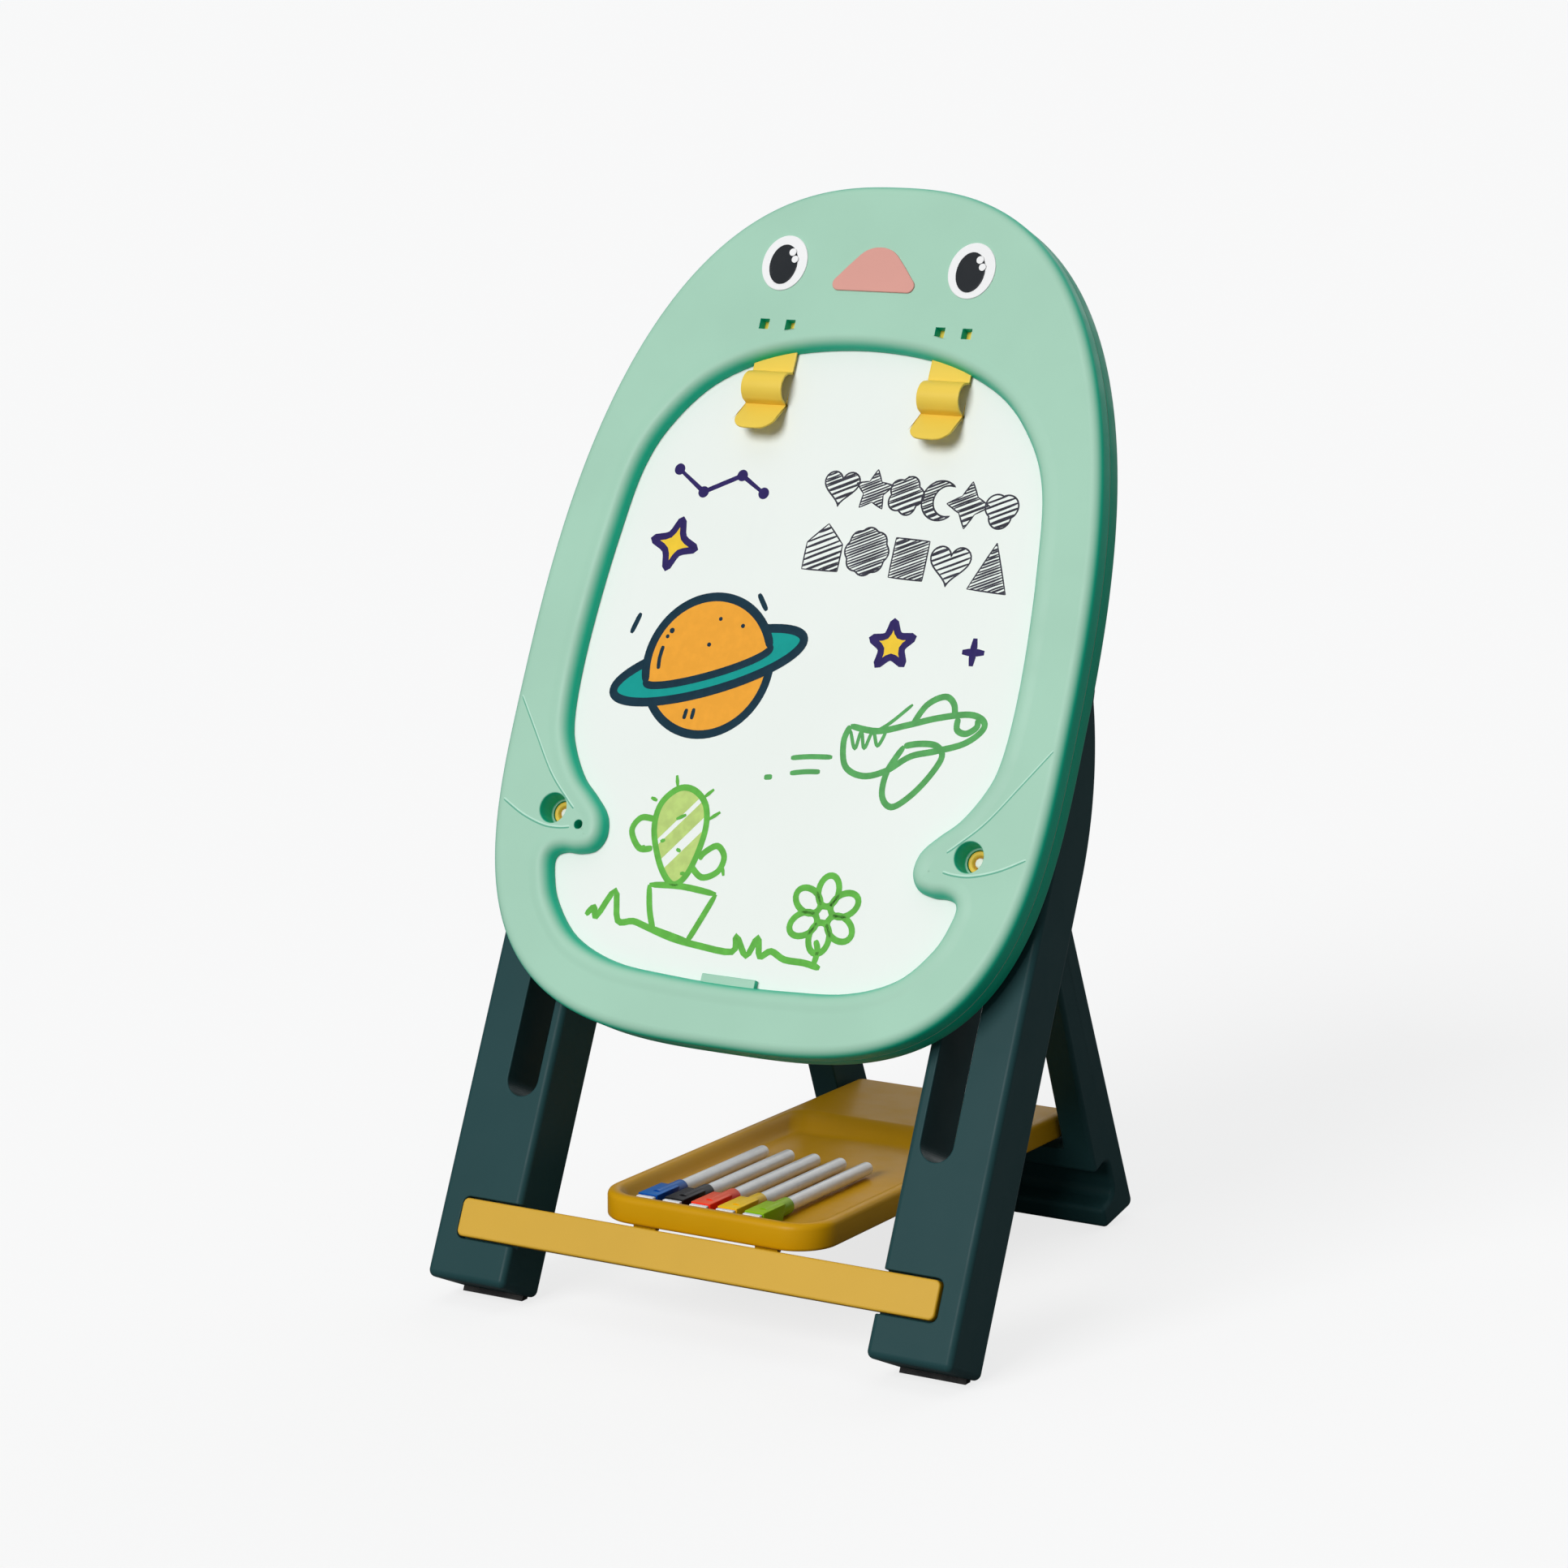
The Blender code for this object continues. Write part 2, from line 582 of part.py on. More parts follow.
# ---------------------------------------------------------------- board: front shell
front_loops = [
    (outer(0.0), BOARD_SEAM_H),
    (outer(0.0), BOARD_FRONT_H - 0.0065),
    (outer(0.0019), BOARD_FRONT_H - 0.0019),
    (outer(0.0065), BOARD_FRONT_H),
    (opening(0.0095), BOARD_FRONT_H),
    (opening(0.0045), BOARD_FRONT_H - 0.0020),
    (opening(0.0015), BOARD_FRONT_H - 0.0065),
    (opening(0.0), PANEL_FRONT_H + GAP),
    (opening(SHELL_WALL), PANEL_FRONT_H + GAP),
    (opening(0.0070), BOARD_FRONT_H - 0.0045),
    (opening(0.0105), BOARD_FRONT_H - SHELL_WALL),
    (outer(0.0085), BOARD_FRONT_H - SHELL_WALL),
    (outer(SHELL_WALL), BOARD_FRONT_H - 0.0075),
    (outer(SHELL_WALL), BOARD_SEAM_H),
]
front_shell = add_piece("board_front_shell", skin(front_loops, True), board, MINT, 0.5)
for side, word in ((-1, "left"), (1, "right")):
    centre = (side * SLOT_X, KNOB_V)
    cup = rod(KNOB_HOLE_R + 0.0022, (*centre, BOARD_SEAM_H + 0.0005), (*centre, BOARD_FRONT_H - 0.001), 24)
    join(front_shell, cup, board, "cup_" + word)
    hole = rod(KNOB_HOLE_R, (*centre, BOARD_SEAM_H - 0.01), (*centre, BOARD_FRONT_H + 0.01), 24)
    cut(front_shell, hole, board, "cup_hole_" + word)
    for k, shift in enumerate((-0.0119, 0.0119)):
        x = side * CLIP_X + shift
        snap = box(x - 0.0042, x + 0.0042, 0.7958, 0.8042, 0.038, 0.050)
        cut(front_shell, snap, board, "snap_hole_%s_%d" % (word, k))
    # The clip comes out under the lip; its bulge clears the slope of the lip.
    mouth_profile = [
        (0.7600, 0.0299), (0.7965, 0.0299), (0.7965, 0.0362), (0.7800, 0.0362),
        (0.7755, 0.0410), (0.7735, 0.0460), (0.7600, 0.0460),
    ]
    mouth_x = (side * CLIP_X - CLIP_HALF - 0.001, side * CLIP_X + CLIP_HALF + 0.001)
    cut(front_shell, side_prism(mouth_profile, *mouth_x), board, "clip_mouth_" + word)
cord_hole = rod(0.0038, (-0.1604, 0.3815, 0.035), (-0.1604, 0.3815, 0.050), 16)
cut(front_shell, cord_hole, board, "cord_hole")
tab_profile = [(0.2700, 0.0304), (0.2795, 0.0304), (0.2795, 0.0345), (0.2700, 0.0360)]
join(front_shell, side_prism(tab_profile, -0.0241, 0.0241), board, "tab")

# ---------------------------------------------------------------- board: rear shell
rear_loops = [
    (outer(0.0135), BOARD_BACK_H + SHELL_WALL),
    (outer(0.0050), BOARD_BACK_H + SHELL_WALL),
    (outer(SHELL_WALL), BOARD_BACK_H + 0.0045),
    (outer(SHELL_WALL), BOARD_SEAM_H - GAP),
    (outer(0.0), BOARD_SEAM_H - GAP),
    (outer(0.0), BOARD_BACK_H + 0.0040),
    (outer(0.0012), BOARD_BACK_H + 0.0012),
    (outer(0.0040), BOARD_BACK_H),
    (outer(0.0135), BOARD_BACK_H),
]
rear_shell = add_piece("board_rear_shell", skin(rear_loops, False), board, MINT, 0.5)
rib = [
    (opening(0.0020), BOARD_BACK_H + 0.001),
    (opening(0.0020), PANEL_BACK_H - GAP),
    (opening(0.0050), PANEL_BACK_H - GAP),
    (opening(0.0050), BOARD_BACK_H + 0.001),
]
join(rear_shell, skin(rib, True), board, "panel_rib")
for side, word in ((-1, "left"), (1, "right")):
    centre = (side * SLOT_X, KNOB_V)
    boss = rod(0.0150, (*centre, BOARD_BACK_H + 0.001), (*centre, BOARD_SEAM_H - 0.0030), 24)
    join(rear_shell, boss, board, "boss_" + word)
    spacer = rod(0.0200, (*centre, GAP), (*centre, BOARD_BACK_H + 0.001), 24)
    join(rear_shell, spacer, board, "spacer_" + word)
    cut(rear_shell, rod(0.0070, (*centre, -0.01), (*centre, 0.04)), board, "bore_" + word)
    bush = add_piece(
        "clamp_nut_" + word,
        rod(0.0066, (*centre, BOARD_BACK_H - 0.004), (*centre, BOARD_SEAM_H - 0.0020), 20),
        board, CLIP_YELLOW, 0.45,
    )
    flange = rod(0.0092, (*centre, BOARD_SEAM_H - 0.0026), (*centre, BOARD_SEAM_H + 0.0006), 20)
    join(bush, flange, board, "flange")
    cut(bush, rod(0.0044, (*centre, -0.01), (*centre, 0.05)), board, "bore")
    # Clamp knob behind the leg, on its own axis.
    knob_axis = add_empty("knob_axis_" + word, (*centre, 0.0), 0.0, board)
    lobes = []
    for turn in (2 * math.pi * i / 48 for i in range(48)):
        reach = KNOB_R + KNOB_LOBE * math.cos(8 * turn)
        lobes.append((reach * math.cos(turn), reach * math.sin(turn)))
    knob = add_piece("clamp_knob_" + word, prism(lobes, -0.0760, -0.0580), knob_axis, YELLOW, 0.45)
    soften(knob, 0.0015, 1, 60)
    neck = rod(0.0170, (0, 0, -0.0600), (0, 0, -LEG_DEPTH - GAP), 24)
    join(knob, neck, knob_axis, "neck")
    cut(knob, rod(0.0043, (0, 0, -0.0700), (0, 0, -0.02)), knob_axis, "stud_hole")
    add_piece(
        "clamp_stud_" + word, rod(0.0040, (0, 0, -0.0695), (0, 0, BOARD_SEAM_H)), knob_axis, NYLON, 0.4
    )

# ---------------------------------------------------------------- whiteboard and face
add_piece(
    "whiteboard_panel", prism([tuple(p) for p in opening(0.0050)], PANEL_BACK_H, PANEL_FRONT_H),
    board, WHITE, 0.3,
)
FACE_H = BOARD_FRONT_H + GAP
for side, word in ((-1, "left"), (1, "right")):
    eye = oval(side * EYE_X, EYE_V, 0.0205, 0.0230)
    add_piece("eye_white_" + word, prism(eye, FACE_H, FACE_H + 0.0008), board, INK_WHITE, 0.3)
    pupil = oval(side * EYE_X - 0.0010, EYE_V - 0.0008, 0.0125, 0.0165)
    low = FACE_H + 0.0008 + GAP
    add_piece("eye_pupil_" + word, prism(pupil, low, low + 0.0006), board, PUPIL_BLACK, 0.25)
beak_outline = arc(-0.0315, 0.8355, 0.0050, 150, 270, 5) + arc(0.0315, 0.8355, 0.0050, -90, 30, 5)
beak_outline += arc(0.0, 0.8470, 0.0200, 48, 132, 8)
add_piece("beak", prism(beak_outline, FACE_H, FACE_H + 0.0012), board, BEAK_PINK, 0.5)


# ---------------------------------------------------------------- paper clips
def clip_centre_line():
    """(V, H) from the clip's hinge: flat root, bulge, crease on the panel, flared lip."""
    touch = PANEL_FRONT_H + 0.0016 - CLIP_HINGE_H
    points = [(0.0, 0.0), (-0.0290, 0.0), (-0.0325, 0.0010)]
    points += [(-0.0453 + 0.0114 * math.cos(t), 0.0018 + 0.0110 * math.sin(t))
               for t in (math.radians(a) for a in range(20, 171, 25))]
    points += [(-0.0584, touch), (-0.0660, touch + 0.0056), (-0.0740, touch + 0.0115)]
    points += [(-0.0798, touch + 0.0152), (-0.0838, touch + 0.0174)]
    return points


def thicken(line, thickness):
    """Closed side outline of a strip from its centre line."""
    upper = []
    lower = []
    for i, point in enumerate(line):
        ahead = Vector(line[min(i + 1, len(line) - 1)])
        behind = Vector(line[max(i - 1, 0)])
        along = (ahead - behind).normalized()
        normal = Vector((-along.y, along.x)) * (thickness / 2)
        upper.append(tuple(Vector(point) + normal))
        lower.append(tuple(Vector(point) - normal))
    return upper + lower[::-1]


for side, word in ((-1, "left"), (1, "right")):
    clip_axis = add_empty("clip_axis_" + word, (side * CLIP_X, CLIP_HINGE_V, CLIP_HINGE_H), 0.0, board)
    strip = side_prism(thicken(clip_centre_line(), 0.0020), -CLIP_HALF, CLIP_HALF)
    add_piece("paper_clip_" + word, strip, clip_axis, CLIP_YELLOW, 0.4)

# ---------------------------------------------------------------- markers
MARKER_AXIS_Z = TRAY_TOP_Z - TRAY_WELL_DEPTH + CAP_COLLAR_R + GAP
for i, (word, colour) in enumerate(CAP_COLOURS[:MARKER_COUNT]):
    place = (MARKER_FIRST_X + MARKER_PITCH * i, MARKER_FRONT_Y - TRAY_PIVOT_Y, MARKER_AXIS_Z - TRAY_PIVOT_Z)
    axis = add_empty("marker_axis_" + word, place, 0.0, tray_axis)
    block_low = -CAP_COLLAR_R
    block_left = -CAP_BLOCK_WIDTH + CAP_COLLAR_R
    collar_end = CAP_BLOCK_LENGTH + CAP_COLLAR_LENGTH
    cap = add_piece(
        "marker_cap_" + word,
        box(block_left, CAP_COLLAR_R, 0.0, CAP_BLOCK_LENGTH, block_low, block_low + CAP_BLOCK_HEIGHT),
        axis, colour, 0.4,
    )
    join(cap, rod(CAP_COLLAR_R - 0.0001, (0, 0.010, 0), (0, collar_end, 0), 16), axis, "collar")
    cut(cap, rod(BARREL_R + 0.0003, (0, 0.016, 0), (0, collar_end + 0.01, 0), 16), axis, "bore")
    add_piece(
        "marker_eraser_" + word,
        box(block_left + 0.001, CAP_COLLAR_R - 0.001, -0.0045, -GAP, block_low + 0.001,
            block_low + CAP_BLOCK_HEIGHT - 0.001),
        axis, INK_WHITE, 0.9,
    )
    barrel = add_piece(
        "marker_barrel_" + word, rod(BARREL_R, (0, 0.0175, 0), (0, 0.0175 + BARREL_LENGTH, 0), 16),
        axis, BARREL_GREY, 0.35,
    )
    soften(barrel, 0.0016, 2, 60)
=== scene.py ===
import json
import math

import bmesh
import bpy
from mathutils import Matrix, Vector
from mathutils.geometry import intersect_line_line_2d


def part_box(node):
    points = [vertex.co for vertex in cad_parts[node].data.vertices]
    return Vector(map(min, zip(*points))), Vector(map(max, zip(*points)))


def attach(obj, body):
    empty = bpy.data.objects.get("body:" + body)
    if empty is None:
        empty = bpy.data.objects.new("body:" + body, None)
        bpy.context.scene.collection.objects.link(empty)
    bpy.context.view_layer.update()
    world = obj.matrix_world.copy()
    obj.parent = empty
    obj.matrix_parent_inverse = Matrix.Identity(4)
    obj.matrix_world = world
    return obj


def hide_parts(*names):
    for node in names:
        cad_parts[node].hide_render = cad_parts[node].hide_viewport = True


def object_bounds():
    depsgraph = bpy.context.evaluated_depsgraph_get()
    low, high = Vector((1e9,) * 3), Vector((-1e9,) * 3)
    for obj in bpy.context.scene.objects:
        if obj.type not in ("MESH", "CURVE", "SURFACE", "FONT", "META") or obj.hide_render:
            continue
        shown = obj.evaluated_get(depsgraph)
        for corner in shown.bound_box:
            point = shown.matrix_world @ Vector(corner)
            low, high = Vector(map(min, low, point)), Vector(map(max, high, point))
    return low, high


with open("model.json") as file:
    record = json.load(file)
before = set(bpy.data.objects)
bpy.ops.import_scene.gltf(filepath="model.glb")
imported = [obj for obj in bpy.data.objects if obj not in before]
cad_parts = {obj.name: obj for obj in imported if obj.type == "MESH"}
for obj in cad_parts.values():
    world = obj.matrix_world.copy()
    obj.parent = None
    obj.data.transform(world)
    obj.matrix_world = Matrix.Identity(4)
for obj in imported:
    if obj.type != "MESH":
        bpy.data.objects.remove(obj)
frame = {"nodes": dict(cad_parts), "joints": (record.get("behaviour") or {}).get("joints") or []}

cad_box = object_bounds()

# ---------------------------------------------------------------- camera, floor and light
# A small product studio: pale floor running into a pale background, one large soft
# light high in front of the easel, weak ones above and behind, and an even fill.
centre = (cad_box[0] + cad_box[1]) / 2
scene = bpy.context.scene
scene.view_settings.view_transform = "Standard"

LENS_DISTANCE = 3.4066
LENS_AZIMUTH = math.radians(31.194)
LENS_ELEVATION = math.radians(10.751)
look_at = centre + Vector((0.0173, -0.1268, -0.0121))
back = Vector((
    math.sin(LENS_AZIMUTH) * math.cos(LENS_ELEVATION),
    -math.cos(LENS_AZIMUTH) * math.cos(LENS_ELEVATION),
    math.sin(LENS_ELEVATION),
))
lens = bpy.data.cameras.new("studio_camera")
lens.lens = 102.06
lens.sensor_width = 36.0
lens.clip_start = 0.05
camera = bpy.data.objects.new("studio_camera", lens)
camera.location = look_at + back * LENS_DISTANCE
camera.rotation_euler = (math.pi / 2 - LENS_ELEVATION, 0.0, LENS_AZIMUTH)
scene.collection.objects.link(camera)
scene.camera = camera

PALE = (0.93, 0.93, 0.93, 1.0)
world = bpy.data.worlds.new("studio")
world.use_nodes = True
scene.world = world
tree = world.node_tree
tree.nodes.clear()
seen = tree.nodes.new("ShaderNodeBackground")
seen.inputs["Color"].default_value = PALE
fill = tree.nodes.new("ShaderNodeBackground")
fill.inputs["Color"].default_value = (0.92, 0.96, 1.0, 1.0)
fill.inputs["Strength"].default_value = 0.20
rays = tree.nodes.new("ShaderNodeLightPath")
pick = tree.nodes.new("ShaderNodeMixShader")
sky = tree.nodes.new("ShaderNodeOutputWorld")
tree.links.new(rays.outputs["Is Camera Ray"], pick.inputs[0])
tree.links.new(fill.outputs[0], pick.inputs[1])
tree.links.new(seen.outputs[0], pick.inputs[2])
tree.links.new(pick.outputs[0], sky.inputs["Surface"])


def add_sun(name, strength, spread, towards):
    """A soft far light that shines from the given direction."""
    data = bpy.data.lights.new(name, "SUN")
    data.energy = strength
    data.angle = math.radians(spread)
    lamp = bpy.data.objects.new(name, data)
    lamp.rotation_euler = Vector(towards).to_track_quat("Z", "Y").to_euler()
    scene.collection.objects.link(lamp)


add_sun("front_softbox", 2.35, 30, (-0.10, -0.86, 0.50))
add_sun("top_softbox", 0.35, 60, (-0.10, -0.10, 0.98))
add_sun("rear_softbox", 0.80, 60, (0.0, 0.88, 0.47))

bm = bmesh.new()
bmesh.ops.create_grid(bm, x_segments=8, y_segments=8, size=150.0)
floor_mesh = bpy.data.meshes.new("floor")
bm.to_mesh(floor_mesh)
bm.free()
floor = bpy.data.objects.new("floor", floor_mesh)
floor.location = (0.0, 0.0, cad_box[0].z - 0.0004)
scene.collection.objects.link(floor)
floor_paint = bpy.data.materials.new("floor_paint")
floor_paint.use_nodes = True
floor_shader = floor_paint.node_tree.nodes["Principled BSDF"]
floor_shader.inputs["Base Color"].default_value = (0.22, 0.22, 0.22, 1.0)
floor_shader.inputs["Roughness"].default_value = 1.0
floor_shader.inputs["Specular IOR Level"].default_value = 0.0
floor_shader.inputs["Emission Strength"].default_value = 0.766
floor_rays = floor_paint.node_tree.nodes.new("ShaderNodeLightPath")
floor_paint.node_tree.links.new(
    floor_rays.outputs["Is Camera Ray"], floor_shader.inputs["Emission Color"]
)
floor_mesh.materials.append(floor_paint)

# ---------------------------------------------------------------- board: mint front shell
# Injection-moulded mint shell with a soft outer edge and a deep rounded border round the
# whiteboard. Two flippers carry the clamp wells; the holes are moulded through.
joints = {joint["name"]: joint for joint in frame["joints"]}
CLAMP_UP = 0.3924                 # clamps, up the leaning plane from the feet
clamp_places = [Vector(joints["clamp_%s_turn" % word]["pos_m"]) for word in ("left", "right")]
up = Vector(joints["board_height"]["axis"]).normalized()
out = Vector(joints["clamp_left_turn"]["axis"]).normalized()
across = Vector((1.0, 0.0, 0.0))
CLAMP_X = (clamp_places[1].x - clamp_places[0].x) / 2
foot_line = (clamp_places[0] + clamp_places[1]) / 2 - CLAMP_UP * up
LEANING = Matrix((
    (across.x, up.x, out.x, foot_line.x),
    (across.y, up.y, out.y, foot_line.y),
    (across.z, up.z, out.z, foot_line.z),
    (0.0, 0.0, 0.0, 1.0),
))


class Signal:
    """A value on its way through a material; arithmetic on it adds the Math nodes."""

    def __init__(self, tree, socket):
        self.tree = tree
        self.socket = socket

    def node(self, kind, settings=None, inputs=None, output=0):
        """Any node: its settings first, then the values or links of its sockets."""
        made = self.tree.nodes.new(kind)
        for key, value in (settings or {}).items():
            if key == "stops":
                ramp = made.color_ramp
                while len(ramp.elements) < len(value):
                    ramp.elements.new(0.5)
                for element, (place, colour) in zip(ramp.elements, value):
                    element.position = place
                    element.color = (*colour, 1.0)
            else:
                setattr(made, key, value)
        for key, value in (inputs or {}).items():
            if isinstance(value, Signal):
                self.tree.links.new(value.socket, made.inputs[key])
            else:
                made.inputs[key].default_value = value
        return Signal(self.tree, made.outputs[output])

    def math(self, operation, first, second):
        return self.node("ShaderNodeMath", {"operation": operation}, {0: first, 1: second})

    def __add__(self, other):
        return self.math("ADD", self, other)

    __radd__ = __add__

    def __sub__(self, other):
        return self.math("SUBTRACT", self, other)

    def __rsub__(self, other):
        return self.math("SUBTRACT", other, self)

    def __mul__(self, other):
        return self.math("MULTIPLY", self, other)

    __rmul__ = __mul__

    def clamped(self, low, high):
        """0 below low, 1 above high, and a soft step between."""
        return self.node(
            "ShaderNodeMapRange", {"interpolation_type": "SMOOTHSTEP"},
            {"Value": self, "From Min": low, "From Max": high},
        )

    def size(self):
        return self.math("ABSOLUTE", self, 0.0)

    def bumped(self, strength, distance):
        """A normal that this height tilts."""
        return self.node(
            "ShaderNodeBump", {}, {"Height": self, "Strength": strength, "Distance": distance}
        )

    def along(self, direction):
        """How far a vector points along a fixed direction."""
        return self.node(
            "ShaderNodeVectorMath", {"operation": "DOT_PRODUCT"},
            {0: self, 1: tuple(direction)}, "Value",
        )

    def mixed(self, first, second):
        """A colour between two others, by this share of the second."""
        return self.node(
            "ShaderNodeMix", {"data_type": "RGBA"},
            {"Factor": self, 6: first, 7: second}, 2,
        )


def start_material(name, roughness, metallic=0.0, coat=0.0):
    """A new Principled material, and a Signal of the object's own coordinates."""
    material = bpy.data.materials.new(name)
    material.use_nodes = True
    tree = material.node_tree
    shader = tree.nodes["Principled BSDF"]
    shader.inputs["Roughness"].default_value = roughness
    shader.inputs["Metallic"].default_value = metallic
    shader.inputs["Coat Weight"].default_value = coat
    shader.inputs["Coat Roughness"].default_value = 0.2
    place = tree.nodes.new("ShaderNodeTexCoord")
    return material, shader, Signal(tree, place.outputs["Object"])


def feed(shader, name, signal):
    signal.tree.links.new(signal.socket, shader.inputs[name])


def noise(place, scale, detail=3.0):
    return place.node(
        "ShaderNodeTexNoise", {}, {"Vector": place, "Scale": scale, "Detail": detail}, "Fac"
    )


def tinted(colour, gain):
    return tuple(min(1.0, channel * gain) for channel in colour) + (1.0,)


def moulded_plastic(
    name, colour, roughness, painted_shade_tone=None, facing=None, grain=0.00003, coat=0.0, shine=0.22
):
    """Moulded plastic: a faint flow pattern, spark-eroded grain and rubbed patches.

    The optional darker tone is painted, as painted shade, on faces that turn away from facing.
    """
    material, shader, place = start_material(name, roughness, coat=coat)
    shader.inputs["Specular IOR Level"].default_value = shine
    cloud = noise(place, 9.0, 4.0)
    speck = noise(place, 900.0, 2.0)
    rubbed = noise(place, 38.0, 5.0)
    body = cloud.clamped(0.30, 0.70).mixed(tinted(colour, 0.975), tinted(colour, 1.025))
    # Painted shade: faces that turn away from facing are painted in the darker tone.
    if painted_shade_tone:
        geometry = place.node("ShaderNodeNewGeometry", {}, {}, "Normal")
        turned = 1.0 - geometry.along(facing).size().clamped(0.30, 0.97)
        body = turned.mixed(body, tinted(painted_shade_tone, 1.0))
    feed(shader, "Base Color", body)
    feed(shader, "Roughness", rubbed.clamped(0.35, 0.75) * 0.10 + (roughness - 0.05) + speck * 0.04)
    feed(shader, "Normal", (speck + rubbed * 0.6).bumped(0.35, grain))
    return material


def new_piece(name, bm, axes, material, body, replaced=(), sharp=38.0):
    """Put a finished shape in its place and let it move with its body."""
    bmesh.ops.transform(bm, matrix=axes, verts=bm.verts[:])
    mesh = bpy.data.meshes.new(name)
    bm.to_mesh(mesh)
    bm.free()
    mesh.shade_smooth()
    mesh.set_sharp_from_angle(angle=math.radians(sharp))
    piece = bpy.data.objects.new(name, mesh)
    scene.collection.objects.link(piece)
    mesh.materials.append(material)
    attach(piece, body)
    if replaced:
        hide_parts(*replaced)
    return piece


def lay_ring(bm, outline, height):
    """A closed ring of edges on an outline."""
    verts = [bm.verts.new((x, v, height)) for x, v in outline]
    for i in range(len(verts)):
        bm.edges.new((verts[i - 1], verts[i]))
    return verts


def ring_edges(bm, ring):
    return [bm.edges.get((ring[i - 1], ring[i])) for i in range(len(ring))]


def grow_ring(bm, ring, outline, height):
    """Extrude a ring and put the new one on the next outline."""
    made = bmesh.ops.extrude_edge_only(bm, edges=ring_edges(bm, ring))["geom"]
    fresh = {v for v in made if isinstance(v, bmesh.types.BMVert)}
    following = []
    for old in ring:
        new = next(e.other_vert(old) for e in old.link_edges if e.other_vert(old) in fresh)
        following.append(new)
    for new, (x, v) in zip(following, outline):
        new.co = (x, v, height)
    return following


def grow_rings(bm, ring, steps):
    for outline, height in steps:
        ring = grow_ring(bm, ring, outline, height)
    return ring


def fill_flat(bm, rings):
    """Fill the level area between an outer ring and the rings of the holes in it."""
    edges = [edge for ring in rings for edge in ring_edges(bm, ring)]
    bmesh.ops.triangle_fill(bm, edges=edges, use_beauty=True, normal=(0, 0, 1))


def add_block(bm, size, middle):
    """A box of a size round its middle."""
    verts = bmesh.ops.create_cube(bm, size=1.0)["verts"]
    bmesh.ops.scale(bm, vec=size, verts=verts)
    bmesh.ops.translate(bm, vec=middle, verts=verts)
    return verts


def round_edges(bm, edges, width, segments):
    bmesh.ops.bevel(
        bm, geom=edges, offset=width, segments=segments, profile=0.5, affect="EDGES", material=-1
    )


def take_in(bm, other):
    """Move the mesh of another bmesh into this one."""
    mesh = bpy.data.meshes.new("part")
    other.to_mesh(mesh)
    other.free()
    bm.from_mesh(mesh)
    bpy.data.meshes.remove(mesh)


def circle(cx, cy, radius, count=40):
    turns = [2 * math.pi * i / count for i in range(count)]
    return [Vector((cx + radius * math.cos(t), cy + radius * math.sin(t))) for t in turns]


def smooth_line(points, per_span, closed=False):
    """A Catmull-Rom curve through the points."""
    count = len(points)
    result = []
    for i in range(count if closed else count - 1):
        if closed:
            near = [Vector(points[(i + k - 1) % count]) for k in range(4)]
        else:
            near = [Vector(points[min(max(i + k - 1, 0), count - 1)]) for k in range(4)]
        p0, p1, p2, p3 = near
        for j in range(per_span):
            t = j / per_span
            result.append(0.5 * (
                2 * p1 + (p2 - p0) * t + (2 * p0 - 5 * p1 + 4 * p2 - p3) * t * t
                + (3 * p1 - p0 - 3 * p2 + p3) * t ** 3
            ))
    if not closed:
        result.append(Vector(points[-1]))
    return result


def moved_out(points, distance):
    """Every point of an anticlockwise outline, moved along its outward normal."""
    moved = []
    for i, point in enumerate(points):
        along = (points[(i + 1) % len(points)] - points[i - 1]).normalized()
        moved.append(point + distance * Vector((along.y, -along.x)))
    return moved


RIM_POINTS = 288
BOARD_HALF_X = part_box("board_front_shell")[1].x
BOARD_LOW = 0.2235
BOARD_MIDDLE = 0.495
BOARD_TOP = 0.920
FACE = 0.0425                     # front face of the board, out from the legs' front
SEAM = 0.0240
SHEET = 0.0300                    # front of the whiteboard
WALL = 0.0030


def egg_point(turn):
    """The board's outline: a squared-off egg, fuller below than above."""
    c = math.cos(turn)
    s = math.sin(turn)
    height = BOARD_TOP - BOARD_MIDDLE if s > 0 else BOARD_MIDDLE - BOARD_LOW
    power = 2.5 if s > 0 else 3.2
    reach = (abs(c) ** power + abs(s) ** power) ** (-1 / power)
    return Vector((BOARD_HALF_X * c * reach, BOARD_MIDDLE + height * s * reach))


# The border round the whiteboard, bottom middle to top middle, with the flipper's end in it.
BORDER_HALF = [
    (0.000, 0.2735), (0.055, 0.2750), (0.105, 0.2795), (0.1450, 0.2945), (0.1700, 0.3205),
    (0.1800, 0.3440), (0.1805, 0.3555), (0.1720, 0.3600), (0.1590, 0.3602), (0.1460, 0.3640),
    (0.1393, 0.3740), (0.1395, 0.3860), (0.1445, 0.3965), (0.1560, 0.4080), (0.1710, 0.4215),
    (0.1850, 0.4430), (0.1925, 0.4640), (0.1957, 0.5000), (0.1950, 0.5500), (0.1900, 0.6150),
    (0.1805, 0.6790), (0.1600, 0.7210), (0.1250, 0.7555), (0.0700, 0.7780), (0.000, 0.7855),
]
border_points = BORDER_HALF + [(-x, v) for x, v in BORDER_HALF[-2:0:-1]]
BORDER = smooth_line(border_points, RIM_POINTS // len(border_points), closed=True)
RIM = [egg_point(2 * math.pi * i / RIM_POINTS - math.pi / 2) for i in range(RIM_POINTS)]
CLIP_X = 0.0796
SNAP_UP = 0.8000
SNAP_STEP = 0.0119
CORD_HOLE = (-0.1604, 0.3815)

def eased(count, reach, drop):
    """Offsets and drops of a quarter-round edge, from the level face to the wall."""
    turns = [math.pi / 2 * k / count for k in range(1, count + 1)]
    return [(reach * math.sin(t), drop * (1 - math.cos(t))) for t in turns]
